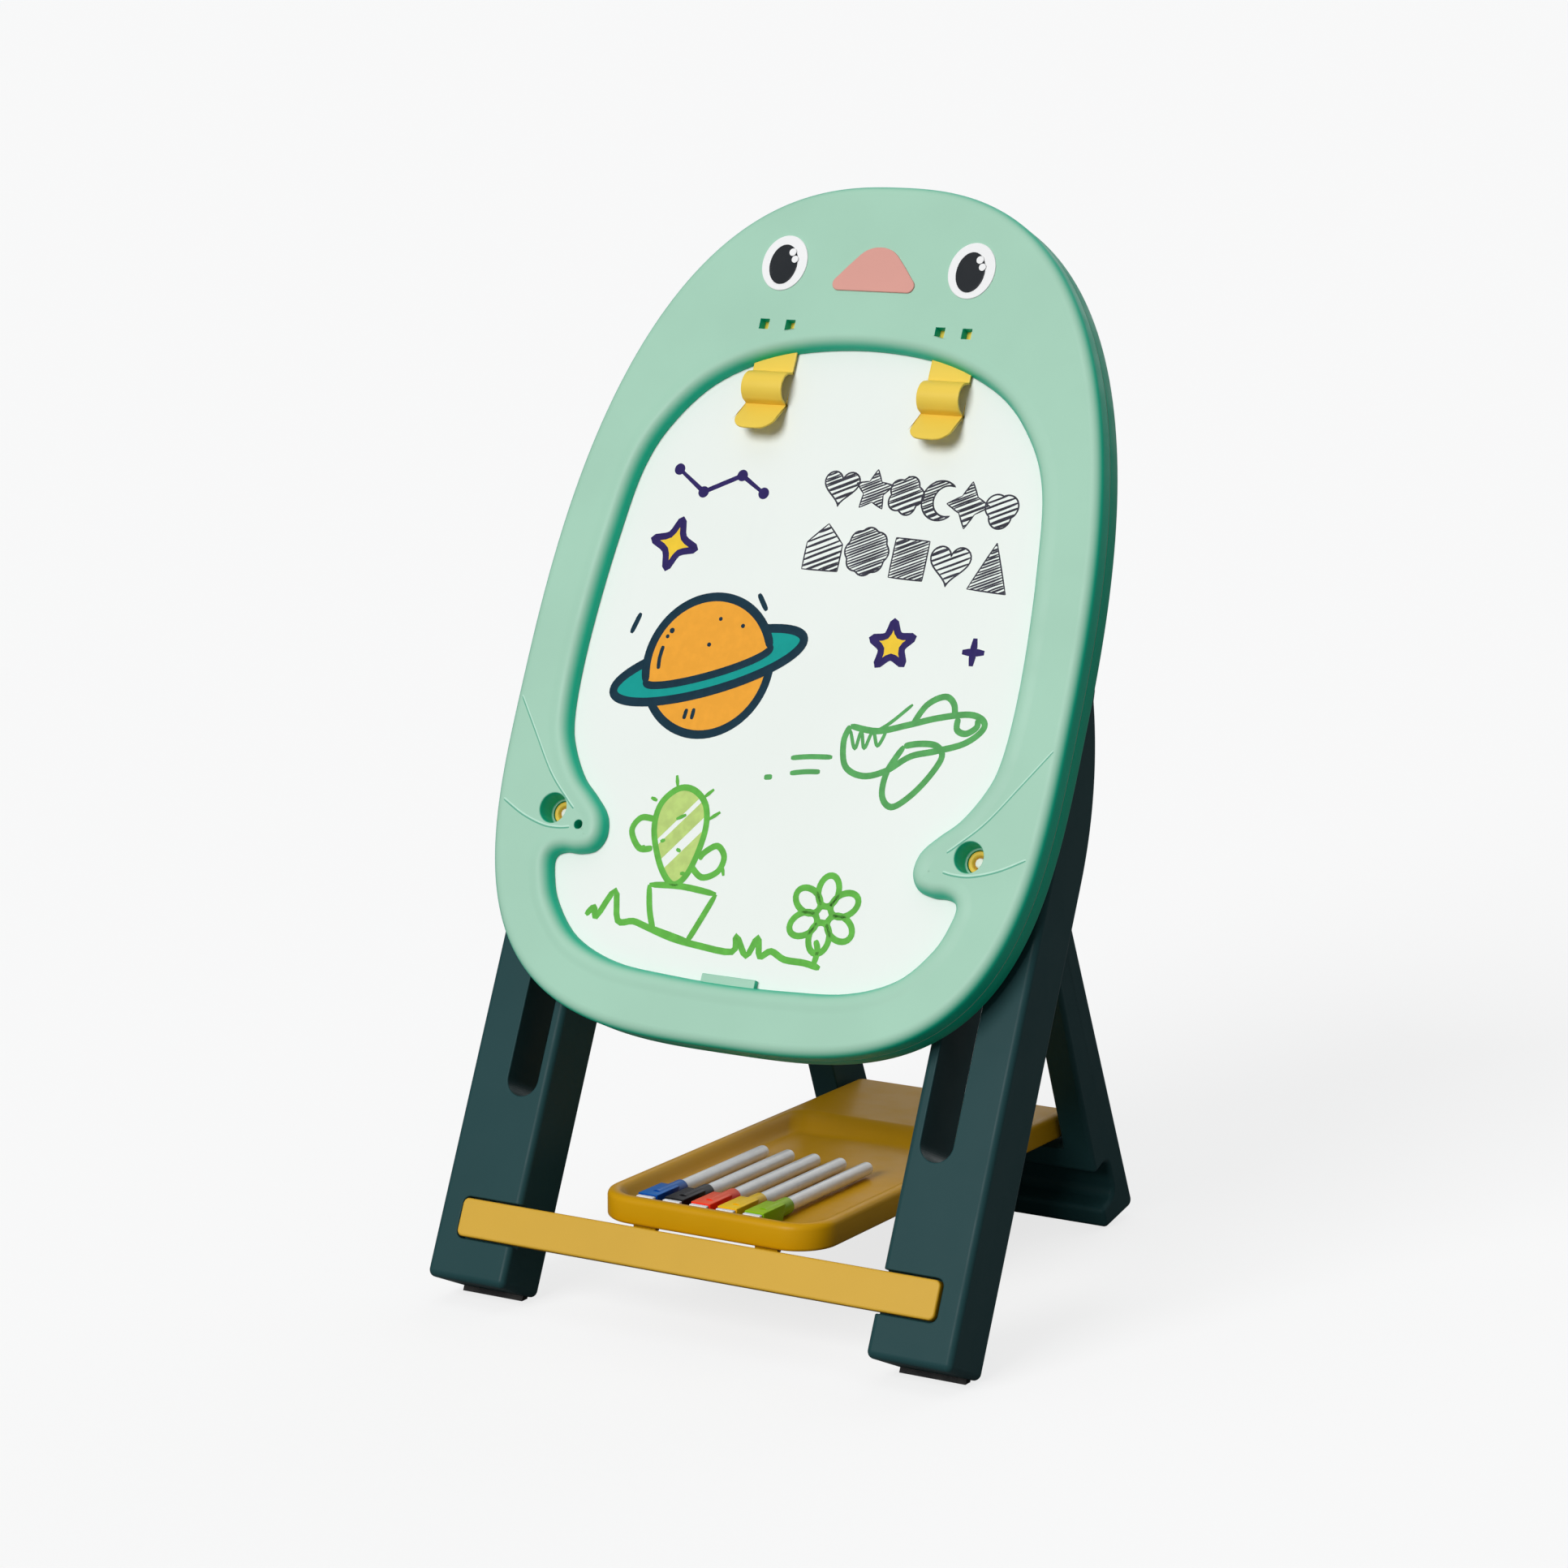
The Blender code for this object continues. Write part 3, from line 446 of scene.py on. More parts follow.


# The front shell's side walls, border slopes and hollows are painted a dark green as painted shade; faces
# towards the front keep the pale mint.
MINT = (0.380, 0.640, 0.492)
PAINTED_SHADE_GREEN = (0.001, 0.500, 0.300)
mint = moulded_plastic("mint_plastic", MINT, 0.45, painted_shade_tone=PAINTED_SHADE_GREEN, facing=out)

EDGE_ROUND = 0.0085
LIP_REACH = 0.0098
bm = bmesh.new()
seam_round = [(0.0009, SEAM), (0.0002, SEAM + 0.0003), (0.0, SEAM + 0.0010)]
ring = lay_ring(bm, moved_out(RIM, -seam_round[0][0]), seam_round[0][1])
seam_ring = ring
ring = grow_rings(bm, ring, [(moved_out(RIM, -inset), h) for inset, h in seam_round[1:]])
edge_steps = [(EDGE_ROUND - a, FACE - b) for a, b in eased(8, EDGE_ROUND, EDGE_ROUND)][::-1]
ring = grow_rings(bm, ring, [(moved_out(RIM, -inset), h) for inset, h in edge_steps])
ring = grow_ring(bm, ring, moved_out(RIM, -EDGE_ROUND), FACE)
face_ring = grow_ring(bm, ring, moved_out(RIM, -EDGE_ROUND - 0.0006), FACE)

# The border: a faint raised bead, then one long round down to the whiteboard.
bead = [(0.0175, 0.0), (0.0168, 0.0), (0.0145, 0.0003), (0.0120, 0.0007), (0.0098, 0.0008)]
lip = lay_ring(bm, moved_out(BORDER, bead[0][0]), FACE)
lip_start = lip
lip = grow_rings(bm, lip, [(moved_out(BORDER, reach), FACE + rise) for reach, rise in bead[1:]])
lip_steps = eased(10, LIP_REACH, FACE + bead[-1][1] - SHEET - 0.0003)
lip = grow_rings(
    bm, lip, [(moved_out(BORDER, LIP_REACH - a), FACE + bead[-1][1] - b) for a, b in lip_steps]
)
inner_steps = [
    (moved_out(BORDER, WALL), SHEET + 0.0003), (moved_out(BORDER, 0.0085), FACE - 0.0050),
    (moved_out(BORDER, 0.0120), FACE - WALL),
]
under_lip = grow_rings(bm, lip, inner_steps)
inner_steps = [
    (moved_out(RIM, -WALL), SEAM), (moved_out(RIM, -WALL), FACE - 0.0090),
    (moved_out(RIM, -0.0100), FACE - WALL),
]
under_rim = grow_rings(bm, seam_ring, inner_steps)

# Holes: clamp wells, snap holes and one small round hole, each with a moulded collar behind.
top_rings = [face_ring, lip_start]
under_rings = [under_rim, under_lip]
for side in (-1, 1):
    spot = (side * CLAMP_X, CLAMP_UP)
    ring = lay_ring(bm, circle(*spot, 0.0131), FACE)
    top_rings.append(ring)
    well = [
        (0.0128, FACE), (0.0124, FACE - 0.0003), (0.0120, FACE - 0.0011), (0.0118, SEAM + 0.0030),
        (0.0115, SEAM + 0.0019), (0.0110, SEAM + 0.0014), (0.0100, SEAM + 0.0013),
        (0.0097, SEAM + 0.0010), (0.0097, SEAM - 0.0030), (0.0140, SEAM - 0.0030),
        (0.0140, FACE - WALL),
    ]
    under_rings.append(grow_rings(bm, ring, [(circle(*spot, r), h) for r, h in well]))
    for shift in (-SNAP_STEP, SNAP_STEP):
        middle = Vector((side * CLIP_X + shift, SNAP_UP))
        corners = [middle + Vector(c) for c in ((-1, -1), (1, -1), (1, 1), (-1, 1))]

        def square(half):
            return [middle + (corner - middle) * half for corner in corners]

        ring = lay_ring(bm, square(0.0043), FACE)
        top_rings.append(ring)
        collar = [(0.0042, FACE - 0.0002), (0.0042, SEAM), (0.0052, SEAM), (0.0052, FACE - WALL)]
        under_rings.append(grow_rings(bm, ring, [(square(half), h) for half, h in collar]))
ring = lay_ring(bm, circle(*CORD_HOLE, 0.0042, 28), FACE)
top_rings.append(ring)
collar = [
    (0.0039, FACE - 0.0002), (0.0037, FACE - 0.0008), (0.0036, SEAM), (0.0048, SEAM),
    (0.0048, FACE - WALL),
]
under_rings.append(grow_rings(bm, ring, [(circle(*CORD_HOLE, r, 28), h) for r, h in collar]))
fill_flat(bm, under_rings)
fill_flat(bm, top_rings)
bmesh.ops.recalc_face_normals(bm, faces=bm.faces[:])
new_piece("board_front", bm, LEANING, mint, "board", ["board_front_shell"], 30)

# Little locating tab moulded on the lower border.
bm = bmesh.new()
add_block(bm, (0.0482, 0.0095, 0.0050), (0.0, 0.2748, SHEET + 0.0029))
round_edges(bm, bm.edges[:], 0.0009, 3)
new_piece("border_tab", bm, LEANING, mint, "board")

# ---------------------------------------------------------------- board: rear shell
# The rear shell closes the board behind the seam. It is screwed to the front shell from
# behind through eight wells, and two round pads slide on the legs.
BACK = 0.0070
BACK_ROUND = 0.0045
screw_places = [
    (side * x, v) for x, v in ((0.105, 0.885), (0.205, 0.735), (0.112, 0.262)) for side in (-1, 1)
] + [(0.0, 0.700), (0.0, 0.300)]
bm = bmesh.new()
ring = lay_ring(bm, moved_out(RIM, -0.0009), SEAM - 0.0003)
inner = ring
steps = [(0.0002, SEAM - 0.0006), (0.0, SEAM - 0.0013)]
steps += [(BACK_ROUND - a, BACK + b) for a, b in eased(6, BACK_ROUND, BACK_ROUND)][::-1]
steps += [(BACK_ROUND, BACK), (BACK_ROUND + 0.0006, BACK)]
ring = grow_rings(bm, ring, [(moved_out(RIM, -inset), h) for inset, h in steps])
panel_groove = [
    (0.0260, BACK), (0.0264, BACK + 0.0002), (0.0272, BACK + 0.0009), (0.0290, BACK + 0.0012),
    (0.0308, BACK + 0.0009), (0.0316, BACK + 0.0002), (0.0320, BACK),
]
outer_groove = lay_ring(bm, moved_out(RIM, -panel_groove[0][0]), BACK)
fill_flat(bm, [ring, outer_groove])
groove = grow_rings(bm, outer_groove, [(moved_out(RIM, -inset), h) for inset, h in panel_groove[1:]])
back_rings = [groove]
inside_rings = []
for spot in screw_places:
    ring = lay_ring(bm, circle(*spot, 0.0056, 24), BACK)
    back_rings.append(ring)
    well = [(0.0052, BACK + 0.0003), (0.0050, BACK + 0.0010), (0.0049, BACK + 0.0060)]
    well += [(0.0020, BACK + 0.0060), (0.0020, BACK + 0.0075), (0.0064, BACK + 0.0075)]
    well.append((0.0064, BACK + WALL))
    inside_rings.append(grow_rings(bm, ring, [(circle(*spot, r, 24), h) for r, h in well]))
for side in (-1, 1):
    spot = (side * CLAMP_X, CLAMP_UP)
    ring = lay_ring(bm, circle(*spot, 0.0204, 48), BACK)
    back_rings.append(ring)
    pad = [(0.0200, BACK - 0.0004), (0.0200, 0.0012), (0.0196, 0.0005), (0.0190, 0.0003), (0.0078, 0.0003)]
    pad += [(0.0071, 0.0009), (0.0071, SEAM - 0.0040), (0.0100, SEAM - 0.0040), (0.0100, BACK + WALL)]
    inside_rings.append(grow_rings(bm, ring, [(circle(*spot, r, 48), h) for r, h in pad]))
fill_flat(bm, back_rings)
steps = [(WALL, SEAM - 0.0003), (WALL, BACK + 0.0060), (0.0060, BACK + WALL)]
inner = grow_rings(bm, inner, [(moved_out(RIM, -inset), h) for inset, h in steps])
fill_flat(bm, [inner] + inside_rings)
bmesh.ops.recalc_face_normals(bm, faces=bm.faces[:])
# The rear shell's side walls and recesses are painted a darker green as painted shade.
PAINTED_SHADE_BACK = (0.001, 0.400, 0.235)
mint_back = moulded_plastic("mint_plastic_back", MINT, 0.46, painted_shade_tone=PAINTED_SHADE_BACK, facing=out)
new_piece("board_back", bm, LEANING, mint_back, "board", ["board_rear_shell"], 30)


def turned(profile, steps=32):
    """Spin a (radius, height) profile about the third axis."""
    bm = bmesh.new()
    verts = [bm.verts.new((radius, 0.0, height)) for radius, height in profile]
    edges = [bm.edges.new(pair) for pair in zip(verts, verts[1:])]
    bmesh.ops.spin(
        bm, geom=verts + edges, cent=(0, 0, 0), axis=(0, 0, 1), angle=2 * math.pi,
        steps=steps, use_merge=True, use_duplicate=False,
    )
    bmesh.ops.remove_doubles(bm, verts=bm.verts[:], dist=0.00001)
    bmesh.ops.recalc_face_normals(bm, faces=bm.faces[:])
    return bm


def brushed_metal(name, colour, roughness):
    """Plated steel with fine turning marks and a little tarnish."""
    material, shader, place = start_material(name, roughness, metallic=1.0)
    marks = noise(place, 420.0, 2.0)
    tarnish = noise(place, 45.0, 4.0)
    feed(shader, "Base Color", tarnish.clamped(0.35, 0.75).mixed(tinted(colour, 0.80), tinted(colour, 1.0)))
    feed(shader, "Roughness", marks * 0.16 + tarnish * 0.12 + (roughness - 0.12))
    feed(shader, "Normal", marks.bumped(0.3, 0.00004))
    return material


steel = brushed_metal("plated_steel", (0.62, 0.62, 0.63), 0.34)
CROSS = (0.0011, 0.00035)         # half length and half width of the driver cross
for k, (x, v) in enumerate(screw_places):
    head = [(0.0, BACK + 0.0032), (0.0012, BACK + 0.0032), (0.0030, BACK + 0.0038), (0.0041, BACK + 0.0048),
            (0.0041, BACK + 0.0058), (0.0, BACK + 0.0058)]
    bm = turned(head, 20)
    for a, b in (CROSS, CROSS[::-1]):
        add_block(bm, (2 * a, 2 * b, 0.0010), (0.0, 0.0, BACK + 0.0031))
    bmesh.ops.translate(bm, vec=(x, v, 0.0), verts=bm.verts[:])
    new_piece("board_screw_%d" % (k + 1), bm, LEANING, steel, "board")

# ---------------------------------------------------------------- clamps
# A yellow flanged bush sits in each well. A pale nylon stud runs from it through the slot
# in the leg to a lobed knob behind, which squeezes the board against the leg.
CLIP_YELLOW = (0.870, 0.620, 0.085)
BAR_YELLOW = (0.670, 0.400, 0.045)
bush_yellow = moulded_plastic("bush_yellow", (0.890, 0.560, 0.075), 0.36)
knob_yellow = moulded_plastic("knob_yellow", BAR_YELLOW, 0.42)
nylon = moulded_plastic("natural_nylon", (0.86, 0.84, 0.79), 0.35)
KNOB_LOBES = 8


def knob_outline(reach, swell, count=128):
    turns = [2 * math.pi * i / count for i in range(count)]
    return [
        Vector((math.cos(t), math.sin(t))) * (reach + swell * math.cos(KNOB_LOBES * t)) for t in turns
    ]


for word, spot in zip(("left", "right"), clamp_places):
    axes = LEANING.copy()
    axes.translation = spot
    bush = [
        (0.0046, SEAM - 0.0200), (0.0066, SEAM - 0.0200), (0.0066, SEAM - 0.0024),
        (0.0090, SEAM - 0.0024), (0.0092, SEAM - 0.0020), (0.0092, SEAM + 0.0002),
        (0.0089, SEAM + 0.0007), (0.0082, SEAM + 0.0009), (0.0068, SEAM + 0.0009),
        (0.0060, SEAM + 0.0004), (0.0056, SEAM - 0.0010), (0.0050, SEAM - 0.0030),
        (0.0046, SEAM - 0.0040), (0.0046, SEAM - 0.0200),
    ]
    new_piece("clamp_bush_" + word, turned(bush, 40), axes, bush_yellow, "board",
              ["clamp_nut_" + word], 45)
    stud = [(0.0, -0.0695)]
    for n in range(34):
        low_edge = -0.0690 + n * 0.0026
        stud += [(0.0034, low_edge), (0.0040, low_edge + 0.0009), (0.0040, low_edge + 0.0013),
                 (0.0034, low_edge + 0.0022)]
    stud += [(0.0040, SEAM - 0.0036), (0.0040, SEAM - 0.0012), (0.0036, SEAM - 0.0004),
             (0.0024, SEAM + 0.0001), (0.0, SEAM + 0.0003)]
    new_piece("clamp_screw_" + word, turned(stud, 24), axes, nylon, "clamp_" + word,
              ["clamp_stud_" + word], 45)
    bm = bmesh.new()
    ring = lay_ring(bm, knob_outline(0.0040, 0.0), -0.0600)
    steps = [
        (0.0150, 0.0, -0.0600), (0.0160, 0.0004, -0.0597), (0.0167, 0.0008, -0.0592),
        (0.0190, 0.0022, -0.0592), (0.0196, 0.0022, -0.0598), (0.0196, 0.0022, -0.0740),
        (0.0190, 0.0021, -0.0752), (0.0178, 0.0018, -0.0759), (0.0160, 0.0012, -0.0760),
        (0.0112, 0.0, -0.0760), (0.0108, 0.0, -0.0757), (0.0106, 0.0, -0.0742),
        (0.0102, 0.0, -0.0738), (0.0040, 0.0, -0.0738),
    ]
    ring = grow_rings(bm, ring, [(knob_outline(reach, swell), h) for reach, swell, h in steps])
    bmesh.ops.contextual_create(bm, geom=ring_edges(bm, ring))
    start = [v for v in bm.verts if abs(v.co.z + 0.0600) < 1e-6 and v.co.xy.length < 0.0045]
    bmesh.ops.contextual_create(bm, geom=start)
    neck = turned([(0.0042, -0.0560), (0.0042, -0.0548), (0.0164, -0.0548), (0.0170, -0.0554),
                   (0.0170, -0.0602), (0.0042, -0.0602)], 40)
    take_in(bm, neck)
    bmesh.ops.recalc_face_normals(bm, faces=bm.faces[:])
    new_piece("clamp_grip_" + word, bm, axes, knob_yellow, "clamp_" + word,
              ["clamp_knob_" + word], 40)

# ---------------------------------------------------------------- whiteboard
# A dry-wipe sheet, slightly greenish white, with faint wiped-off marker haze. It keeps
# the CAD panel and only takes a new surface.
material, shader, place = start_material("dry_wipe_sheet", 0.28, coat=0.05)
shader.inputs["Specular IOR Level"].default_value = 0.25
haze = noise(place, 6.0, 5.0)
wiped = place.node(
    "ShaderNodeMapping", {}, {"Vector": place, "Rotation": (0.0, 0.5, 0.0), "Scale": (60.0, 8.0, 8.0)}
)
streaks = noise(wiped, 1.0, 4.0)
clean = haze.clamped(0.3, 0.7).mixed((0.855, 0.905, 0.858, 1.0), (0.872, 0.918, 0.875, 1.0))
feed(shader, "Base Color", (streaks.clamped(0.55, 0.85) * 0.15).mixed(clean, (0.80, 0.85, 0.82, 1.0)))
feed(shader, "Roughness", streaks * 0.10 + haze * 0.08 + 0.26)
ripple = noise(place, 14.0, 2.0)
feed(shader, "Normal", ripple.bumped(0.2, 0.0002))
panel = frame["nodes"]["whiteboard_panel"]
panel.data.materials.clear()
panel.data.materials.append(material)

# ---------------------------------------------------------------- printed drawings
# Child-like drawings printed on the sheet: a thin raised film of ink for every stroke
# and fill. Each colour is one piece, and later layers lie a hair above earlier ones.
LAYER = 0.00004
INK_TOP = 0.00010


def ink(name, colour, patchy):
    """Marker or pencil ink: slightly uneven cover and a soft satin."""
    material, shader, place = start_material(name, 0.42)
    shader.inputs["Specular IOR Level"].default_value = 0.08
    cover = noise(place, 130.0, 4.0)
    broad = noise(place, 24.0, 2.0)
    tone = cover.clamped(0.35, 0.72).mixed(tinted(colour, 1.0 - patchy), tinted(colour, 1.0 + patchy))
    feed(shader, "Base Color", (broad.clamped(0.4, 0.7) * 0.4).mixed(tone, tinted(colour, 1.0 + patchy)))
    feed(shader, "Roughness", cover * 0.2 + 0.30)
    return material


class Print:
    """The strokes and fills of one ink colour, on the sheet or on another level."""

    def __init__(self, name, colour, patchy=0.06, level=SHEET, slot="whiteboard"):
        self.name = name
        self.level = level
        self.slot = slot
        self.material = ink(name, colour, patchy)
        self.bm = bmesh.new()

    def stroke(self, points, width, layer=0, smooth=6, closed=False):
        """A round-ended marker stroke through a few points."""
        line = smooth_line(points, smooth, closed) if smooth else [Vector(p) for p in points]
        curve = bpy.data.curves.new("stroke", "CURVE")
        curve.dimensions = "3D"
        curve.bevel_depth = width / 2
        curve.bevel_resolution = 1
        curve.use_fill_caps = True
        spline = curve.splines.new("POLY")
        spline.points.add(len(line) - 1)
        for i, (point, place) in enumerate(zip(spline.points, line)):
            point.co = (place.x, place.y, 0.0, 1.0)
            tip = min(i, len(line) - 1 - i)
            point.radius = 1.0 if closed else (0.55, 0.9, 1.0)[min(tip, 2)]
        spline.use_cyclic_u = closed
        holder = bpy.data.objects.new("stroke", curve)
        mesh = bpy.data.meshes.new_from_object(holder)
        flatten = Matrix.Diagonal((1.0, 1.0, 2 * INK_TOP / width, 1.0))
        mesh.transform(Matrix.Translation((0, 0, self.level + layer * LAYER)) @ flatten)
        self.bm.from_mesh(mesh)
        bpy.data.objects.remove(holder)
        bpy.data.curves.remove(curve)

    def fill(self, outline, layer=0):
        """A filled shape, raised by the thickness of the ink."""
        verts = [self.bm.verts.new((x, v, self.level - 0.00005)) for x, v in outline]
        face = self.bm.faces.new(verts)
        raised = bmesh.ops.extrude_face_region(self.bm, geom=[face])["geom"]
        top = [v for v in raised if isinstance(v, bmesh.types.BMVert)]
        bmesh.ops.translate(self.bm, vec=(0, 0, 0.00005 + INK_TOP / 2 + layer * LAYER), verts=top)

    def hatch(self, outline, angle, gap, width, layer=0):
        """Pencil hatching inside a shape: slanted strokes between its edges."""
        turn = Vector((math.cos(angle), math.sin(angle)))
        normal = Vector((-turn.y, turn.x))
        reach = [Vector(p).dot(normal) for p in outline]
        level = min(reach) + gap * 0.5
        row = 0
        while level < max(reach):
            wobble = 0.22 * gap * math.sin(7.3 * row + level * 900)
            start = normal * (level + wobble) - turn
            end = start + turn * 2 + normal * (0.4 * gap * math.cos(3.1 * row))
            cuts = []
            for i in range(len(outline)):
                hit = intersect_line_line_2d(start, end, Vector(outline[i - 1]), Vector(outline[i]))
                if hit:
                    cuts.append(hit)
            cuts.sort(key=lambda p: p.dot(turn))
            for a, b in zip(cuts[::2], cuts[1::2]):
                if (b - a).length > width:
                    middle = a.lerp(b, 0.5) + normal * (0.15 * gap * math.sin(5 * row))
                    self.stroke([a, middle, b], width * (0.8 + 0.3 * math.sin(2.3 * row) ** 2), layer, 3)
            level += gap
            row += 1

    def done(self):
        bmesh.ops.recalc_face_normals(self.bm, faces=self.bm.faces[:])
        return new_piece(self.name, self.bm, LEANING, self.material, "board", (), 60)


def tilted(cx, cy, rx, ry, turn, start=0.0, end=360.0, count=60):
    """Points of a tilted ellipse, by degrees."""
    c = math.cos(math.radians(turn))
    s = math.sin(math.radians(turn))
    points = []
    for i in range(count + 1):
        t = math.radians(start + (end - start) * i / count)
        x = rx * math.cos(t)
        y = ry * math.sin(t)
        points.append(Vector((cx + x * c - y * s, cy + x * s + y * c)))
    return points


def star(cx, cy, tips, long, short, turn):
    """A soft star, its tips and hollows alternating."""
    points = []
    for i in range(2 * tips):
        t = math.radians(turn) + math.pi * i / tips
        reach = long if i % 2 == 0 else short
        points.append((cx + reach * math.cos(t), cy + reach * math.sin(t)))
    return points


def at(*places):
    """Places on the sheet, given in millimetres across from its middle and up."""
    return [Vector(place) / 1000 for place in places]


NAVY = (0.008, 0.034, 0.056)
INDIGO = (0.030, 0.019, 0.118)
navy = Print("print_navy", NAVY, 0.10)
indigo = Print("print_indigo", INDIGO, 0.10)
orange = Print("print_orange", (0.880, 0.385, 0.040), 0.03)
teal = Print("print_teal", (0.006, 0.330, 0.290), 0.03)
sunny = Print("print_yellow", (0.900, 0.600, 0.045), 0.03)

# Ringed planet.
PLANET = (-0.0823, 0.5217)
PLANET_R = 0.0560
RING_TURN = 19.5
LINE = 0.0073
orange.fill(tilted(*PLANET, PLANET_R, PLANET_R, 0.0, 0.0, 354.0, 59), 0)
navy.stroke(circle(*PLANET, PLANET_R, 72), LINE, 1, 0, True)
ring_out = tilted(*PLANET, 0.0860, 0.0215, RING_TURN, 0.0, 355.0, 71)
ring_in = tilted(*PLANET, 0.0560, 0.0085, RING_TURN, 0.0, 355.0, 71)
for k in range(len(ring_out)):
    teal.fill([ring_out[k - 1], ring_out[k], ring_in[k], ring_in[k - 1]], 3)
navy.stroke(ring_out, LINE, 5, 0, True)
navy.stroke(ring_in, LINE * 0.85, 5, 0, True)
# The upper half of the planet stands in front of the far side of its ring.
cap = tilted(*PLANET, PLANET_R, PLANET_R, RING_TURN, 8.0, 172.0, 44)
cap += tilted(*PLANET, 0.0545, 0.0075, RING_TURN, 180.0, 360.0, 30)
orange.fill(cap, 7)
navy.stroke(tilted(*PLANET, PLANET_R, PLANET_R, RING_TURN, 0.0, 180.0, 50), LINE, 9, 0)
navy.stroke(tilted(*PLANET, 0.0560, 0.0085, RING_TURN, 180.0, 360.0, 40), LINE * 0.85, 9, 0)
for x, v, size in (
    (-0.0795, 0.5600, 0.0034), (-0.0580, 0.5560, 0.0036), (-0.0850, 0.5385, 0.0036),
    (-0.1215, 0.5470, 0.0046), (-0.1245, 0.5420, 0.0034),
):
    navy.fill(circle(x, v, size / 2, 14), 9)
navy.stroke(at((-126.5, 534), (-127.5, 524), (-126.5, 515)), 0.0034, 9)
navy.stroke(at((-92.5, 485.5), (-93.5, 477)), 0.0034, 3)
navy.stroke(at((-86, 486.5), (-86.5, 477.5)), 0.0034, 3)
navy.stroke(at((-154, 559), (-159, 542)), 0.0044)
navy.stroke(at((-50, 583), (-40, 570)), 0.0044)

# Constellation, stars and a small plus.
POINTS_OF_LIGHT = at((-147.6, 679.3), (-121.1, 662), (-88.6, 677.7), (-65.8, 664.4))
indigo.stroke(POINTS_OF_LIGHT, 0.0052, 0, 0)
for place in POINTS_OF_LIGHT:
    indigo.fill(circle(*place, 0.0048, 24), 2)
for shape in (
    star(-0.1374, 0.6177, 4, 0.0205, 0.0092, 82.0), star(0.0770, 0.5517, 5, 0.0190, 0.0095, 96.0),
):
    rounded = smooth_line(shape, 4, True)
    sunny.fill(rounded, 0)
    indigo.stroke(rounded, 0.0058, 2, 0, True)
indigo.stroke(at((138.5, 551.5), (157.5, 552.2)), 0.0066, 0, 3)
indigo.stroke(at((147.5, 563), (148.3, 541)), 0.0066, 1, 3)
for sheet in (navy, indigo, orange, teal, sunny):
    sheet.done()

# Toy aeroplane in green marker.
marker_green = Print("print_green", (0.105, 0.390, 0.115), 0.10)
PEN = 0.0052
marker_green.stroke(at(
    (56, 485.5), (53, 472.5), (59, 453.5), (76, 447.5), (95, 453.5), (113, 466.5), (133, 472.5),
    (156, 480.5), (169, 491.5), (169, 499.5), (156, 503.5), (130, 498.5), (105, 490.5),
    (80, 483.5), (56, 485.5),
), PEN)
marker_green.stroke(at(
    (106, 474), (96, 453), (96, 434), (106, 426), (120, 436), (133, 453), (140, 469),
    (133, 477), (118, 477), (106, 474),
), PEN, 1)
marker_green.stroke(at(
    (109, 490.5), (118, 507.5), (132, 515.5), (141, 510.5), (144, 499.5),
), PEN, 1)
marker_green.stroke(at((79, 483), (90, 491), (106, 507)), 0.0030, 1)
marker_green.stroke(at(
    (57, 482), (64, 468), (66.5, 482), (72, 469), (76.5, 483), (83, 472), (88, 484),
), 0.0030, 1)
marker_green.stroke(at((147, 500), (148, 491), (156, 488.5), (164, 494), (164, 500.5)), PEN, 1)
marker_green.stroke(at((10, 455.5), (26, 458), (46, 459.5)), 0.0042)
marker_green.stroke(at((12, 443.5), (26, 446), (38, 447)), 0.0042)
marker_green.stroke(at((-10, 438), (-3, 439)), 0.0044)
marker_green.done()

# Potted cactus, grass and a flower in lighter green.
leaf = Print("print_leaf", (0.130, 0.470, 0.070), 0.10)
pale_leaf = Print("print_pale_leaf", (0.500, 0.660, 0.200), 0.08)
CACTUS = at(
    (-74, 347), (-87, 361.7), (-98, 386.8), (-97, 407.5), (-84, 421.4), (-69, 421.4),
    (-56, 410.1), (-52, 389.4), (-57, 361.7), (-65, 347.9),
)
leaf.stroke(CACTUS, PEN, 3, 6, True)
body = smooth_line(CACTUS, 6, True)
slope = Vector((0.64, 0.77))
across_slope = Vector((-slope.y, slope.x))


def band(outline, low, high):
    """The part of a shape between two slanted lines."""
    kept = outline
    for side, edge in ((1, low), (-1, high)):
        clipped = []
        for i in range(len(kept)):
            a, b = kept[i - 1], kept[i]
            da = side * (a.dot(across_slope) - edge)
            db = side * (b.dot(across_slope) - edge)
            if (da > 0) != (db > 0):
                clipped.append(a.lerp(b, da / (da - db)))
            if db > 0:
                clipped.append(b)
        kept = clipped
    return kept


slant = [point.dot(across_slope) for point in body]
span = max(slant) - min(slant)
for low, high in ((0.02, 0.30), (0.42, 0.60), (0.66, 0.97)):
    shape = band(body, min(slant) + low * span, min(slant) + high * span)
    if len(shape) > 2:
        pale_leaf.fill(shape, 0)
leaf.stroke(at((-96, 372), (-108, 371), (-118, 384), (-112, 395), (-99, 395)), PEN, 2)
leaf.stroke(at(
    (-58, 362), (-46, 354), (-33, 360), (-30, 372), (-38, 380), (-48, 374), (-52, 368),
), PEN, 2)
for tick in (
    ((-0.0850, 0.4223), (-0.0880, 0.4318)), ((-0.0600, 0.4162), (-0.0520, 0.4240)),
    ((-0.0510, 0.3998), (-0.0420, 0.4067)), ((-0.1010, 0.4101), (-0.1070, 0.4119)),
    ((-0.0900, 0.3781), (-0.0860, 0.3799)), ((-0.0740, 0.3738), (-0.0700, 0.3721)),
    ((-0.0660, 0.3548), (-0.0620, 0.3556)), ((-0.0800, 0.3972), (-0.0720, 0.4015)),
    ((-0.0300, 0.3652), (-0.0270, 0.3574)), ((-0.1080, 0.3704), (-0.1030, 0.3730)),
):
    leaf.stroke(tick, 0.0036, 4, 2)
leaf.stroke(at((-91.4, 343.2), (-62, 345), (-30.1, 342.2)), PEN, 3, 4)
